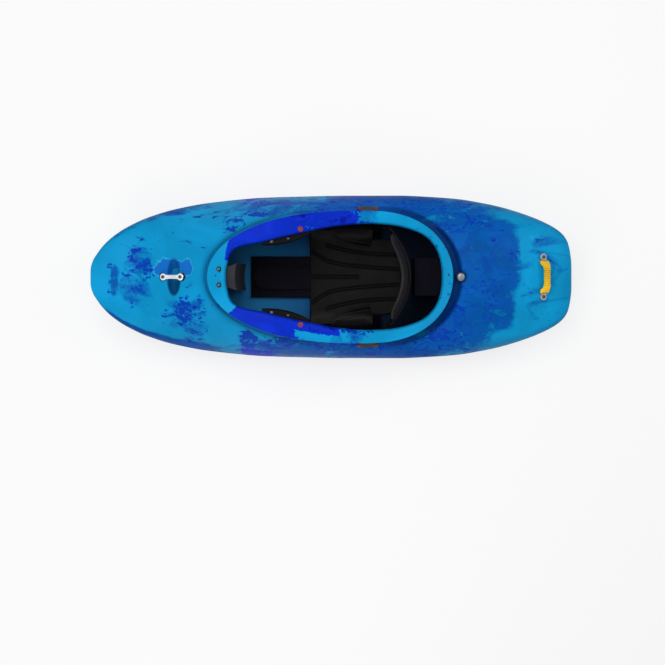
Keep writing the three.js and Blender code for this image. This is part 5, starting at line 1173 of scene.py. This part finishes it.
# Holes in the rim, drawn as shallow dished discs of black rubber: their dark colour is painted shade inside the
# holes
for name, x, y, r in (("rim_rear_hole", 0.436, 0.008, 0.0038), ("rim_front_hole_low", -0.425, 0.005, 0.0022),
                      ("rim_front_hole_high", -0.407, 0.021, 0.0018)):
    far, at, _ = off_line(rim_edge, x, y)
    sink = 0.003 * (-far[0] - 0.003) / (rim_widths[at[0]] - 0.017)
    tilt = float(rim_top_at(x + 0.005) - rim_top_at(x - 0.005)) / 0.01
    profile = [(0, -0.0016, 0), (r, -0.0016, 0), (r, 0.0002, 0), (r * 0.8, 0.0003, 0), (r * 0.6, -0.0006, 0),
               (0, -0.0008, 0)]
    hole = lathe(name, profile, (x, y, float(rim_top_at(x)) - sink + 0.0005), (-tilt, 0, 1), 32)
    join_body(use(hole, rubber), "hull_shell")

# Metal and hard plastic. A row holds how a piece is made, its CAD node, its name, finish and slot.
SIDE_PIECES = (
    (rounded_copy, "stern_handle_plate", "stern_grip_end_plate", pale_plate, "grey_plastic", 0.0012),
    (button_bolt, "stern_handle_bolt", "stern_grip_bolt", dark_steel, "dark_steel"),
    (washer, "rim_washer", "front_rim_washer", rubber, "black_rubber"),
    (button_bolt, "rim_bolt", "front_rim_bolt", dome_steel, "steel"),
    (washer, "thigh_washer", "thigh_hook_washer", red_plastic, "red_washer"),
    (button_bolt, "thigh_bolt", "thigh_hook_bolt", dark_steel, "dark_steel"),
    (rounded_copy, "thigh_hook", "thigh_brace_hook", dark_plastic, "black_plastic", 0.0015),
    (rounded_copy, "side_plate", "side_bolt_plate", plate_plastic, "grey_plastic", 0.001),
    (rounded_copy, "ratchet_body", "ratchet_case", dark_plastic, "black_plastic", 0.001),
    (rounded_copy, "ratchet_lever", "ratchet_hand_lever", dark_plastic, "black_plastic", 0.0012),
    (rounded_copy, "ladder_strap", "toothed_strap", dark_plastic, "black_plastic", 0.0005),
    (rounded_copy, "foot_rail", "slotted_foot_rail", alloy, "aluminium", 0.0008),
    (rounded_copy, "footplate", "foot_rest_plate", dark_plastic, "black_plastic", 0.0018),
    (rounded_copy, "cord_anchor", "backband_cord_anchor", dark_plastic, "black_plastic", 0.0006))
SIDE_BOLTS = (
    (washer, "side_washer", "side_plate_washer", red_plastic, "red_washer"),
    (button_bolt, "side_bolt", "side_plate_bolt", dark_steel, "dark_steel"))
MIDDLE_PIECES = (
    ("stern_handle_grip", "stern_ribbed_grip", grip_plastic, "yellow_grip", 0.001),
    ("drain_fitting", "drain_threaded_fitting", dark_plastic, "black_plastic", 0.0008),
    ("drain_gasket", "drain_seal_ring", rubber, "black_rubber", 0.0006),
    ("drain_plug", "drain_hand_plug", alloy, "aluminium", 0.001),
    ("front_pillar", "front_foam_pillar", foam, "dark_foam", 0.0025),
    ("rear_pillar", "rear_foam_pillar", rear_foam_painted_shade, "dark_foam", 0.0025),
    ("pillar_bracket", "pillar_foot_bracket", bracket_foam, "black_plastic", 0.0012),
    ("seat_pan", "moulded_seat_tray", tray_plastic, "black_plastic", 0.0018),
    ("backband_shell", "backband_inner_shell", dark_plastic, "black_plastic", 0.001))
build_bow_bar(steel, bar_feet, bar_along, bar_normal)
for end in ("front", "rear"):
    button_bolt(f"bow_bar_bolt_{end}", f"bow_bar_button_bolt_{end}", dark_steel, "dark_steel")
for side, _ in SIDES:
    for make, node, name, *finish in SIDE_PIECES:
        make(f"{node}_{side}", f"{name}_{side}", *finish)
    for end in ("front", "rear"):
        for make, node, name, *finish in SIDE_BOLTS:
            make(f"{node}_{side}_{end}", f"{name}_{side}_{end}", *finish)
for side, way in SIDES:
    hook = bpy.data.objects[f"thigh_brace_hook_{side}"]
    for end, x, y, r in (("front", -0.222, 0.1315, 0.0062), ("rear", -0.162, 0.142, 0.0045)):
        _, spot, normal, _ = hook.ray_cast(Vector((x, way * y, 1)), Vector((0, 0, -1)))
        profile = [(0, -0.001, 0), (r, -0.001, 0), (r, 0.0006, 0), (r * 0.85, 0.0016, 0), (r * 0.5, 0.0022, 0),
                   (r * 0.42, 0.0008, 0), (0, 0.0008, 0)]
        stud = lathe(f"thigh_hook_stud_{side}_{end}", profile, spot, normal, 32)
        join_body(use(stud, dome_steel), f"thigh_hook_{side}")
for piece in MIDDLE_PIECES:
    rounded_copy(*piece)

# Sewn lines of the covers, in plan. Those with y above zero have a twin on the other side.
CENTRE_SEAM = [(-0.086, 0.0), (0.1, 0.0)]
SEAMS = [
    [(-0.088, 0.104), (-0.05, 0.078), (-0.02, 0.062), (0.03, 0.05), (0.1, 0.042), (0.18, 0.036), (0.262, 0.03)],
    [(-0.03, 0.128), (0.0, 0.118), (0.06, 0.104), (0.12, 0.095), (0.18, 0.09), (0.25, 0.088)]]
HIP_SEAM = [(0.005, 0.17), (0.05, 0.158), (0.1, 0.15), (0.15, 0.147)]


def on_side(seam, way):
    return [(x, way * y) for x, y in seam]


thread_nodes, thread_values = stitch_nodes(thread)
seat_cover = cushion("seat_pad", "sewn_seat_pad", cloth_black, 0.0045, apron=True)
sewn(seat_cover, "seat_pad_stitches", [on_side(seam, way) for seam in SEAMS for way in (1, -1)] + [CENTRE_SEAM])
for side, way in SIDES:
    hip = cushion(f"hip_pad_{side}", f"sewn_hip_pad_{side}", side_cloth_painted_shade, 0.004)
    sewn(hip, f"hip_pad_stitches_{side}", [on_side(HIP_SEAM, way)], 0.004)
    sew(cushion(f"thigh_pad_{side}", f"sewn_thigh_pad_{side}", side_cloth_painted_shade, 0.0035), [])
sew(cushion("backband_pad", "sewn_backband_pad", cloth_plum, 0.0045), [])


# Stage
def seen_share(tree):
    """One for the rays that show the stage itself, zero for the light that it throws."""
    path = add(tree, "ShaderNodeLightPath").outputs
    return math_node(tree, "MAXIMUM", path["Is Camera Ray"], math_node(
        tree, "MAXIMUM", path["Is Glossy Ray"], path["Is Transmission Ray"]))


def build_stage():
    far = 14
    floor = mesh_object("pale_floor", [(-far, -far, 0), (far, -far, 0), (far, far, 0), (-far, far, 0)],
                        [(0, 1, 2, 3)], False)
    mat = bpy.data.materials.new("pale_floor_paint")
    tree = new_tree(mat)
    tone = ramp_node(tree, noise_node(tree, object_place(tree), 0.4, 1.0), [
        (0.3, (0.86, 0.86, 0.86)), (0.7, (0.88, 0.88, 0.88))])
    matt = add(tree, "ShaderNodeBsdfDiffuse", {"Color": tone})
    glow = add(tree, "ShaderNodeEmission", {"Color": (*WHITE, 1), "Strength": 1.0})
    blend = add(tree, "ShaderNodeMixShader", {
        0: math_node(tree, "MULTIPLY", seen_share(tree), 0.75), 1: matt.outputs[0], 2: glow.outputs[0]})
    add(tree, "ShaderNodeOutputMaterial", {0: blend.outputs[0]})
    use(floor, mat)
    world = bpy.data.worlds.new("studio_air")
    tree = new_tree(world)
    air = add(tree, "ShaderNodeBackground", {"Color": (*WHITE, 1), "Strength": math_node(
        tree, "ADD", math_node(tree, "MULTIPLY", seen_share(tree), 0.54), 0.46)})
    add(tree, "ShaderNodeOutputWorld", {0: air.outputs[0]})
    bpy.context.scene.world = world
    for name, place, size, power in (
            ("soft_top_lamp", (-0.6, 1.0, 3.2), 2.2, 50), ("soft_port_lamp", (-1.2, -2.6, 2.2), 1.8, 26),
            ("soft_stern_lamp", (2.6, 1.2, 2.6), 1.6, 18)):
        data = bpy.data.lights.new(name, "AREA")
        data.shape, data.size, data.energy = "DISK", size, power
        lamp = linked(name, data)
        lamp.location = place
        lamp.rotation_euler = (Vector((0, 0, 0.15)) - Vector(place)).to_track_quat("-Z", "Y").to_euler()


def build_camera():
    """A camera above the boat that frames it as the photograph's upper view does."""
    photo_width, focal = 665, 995.1
    data = bpy.data.cameras.new("photo_camera")
    data.sensor_fit, data.sensor_width = "HORIZONTAL", 36
    data.lens = data.sensor_width * focal / photo_width
    data.shift_x, data.shift_y = -15.9 / photo_width, -55.6 / photo_width
    data.dof.use_dof = False
    camera = linked("photo_camera", data)
    camera.location = (0.06, 0, 4.0)
    bpy.context.scene.camera = camera


build_stage()
build_camera()
bpy.context.scene.view_settings.view_transform = "Standard"
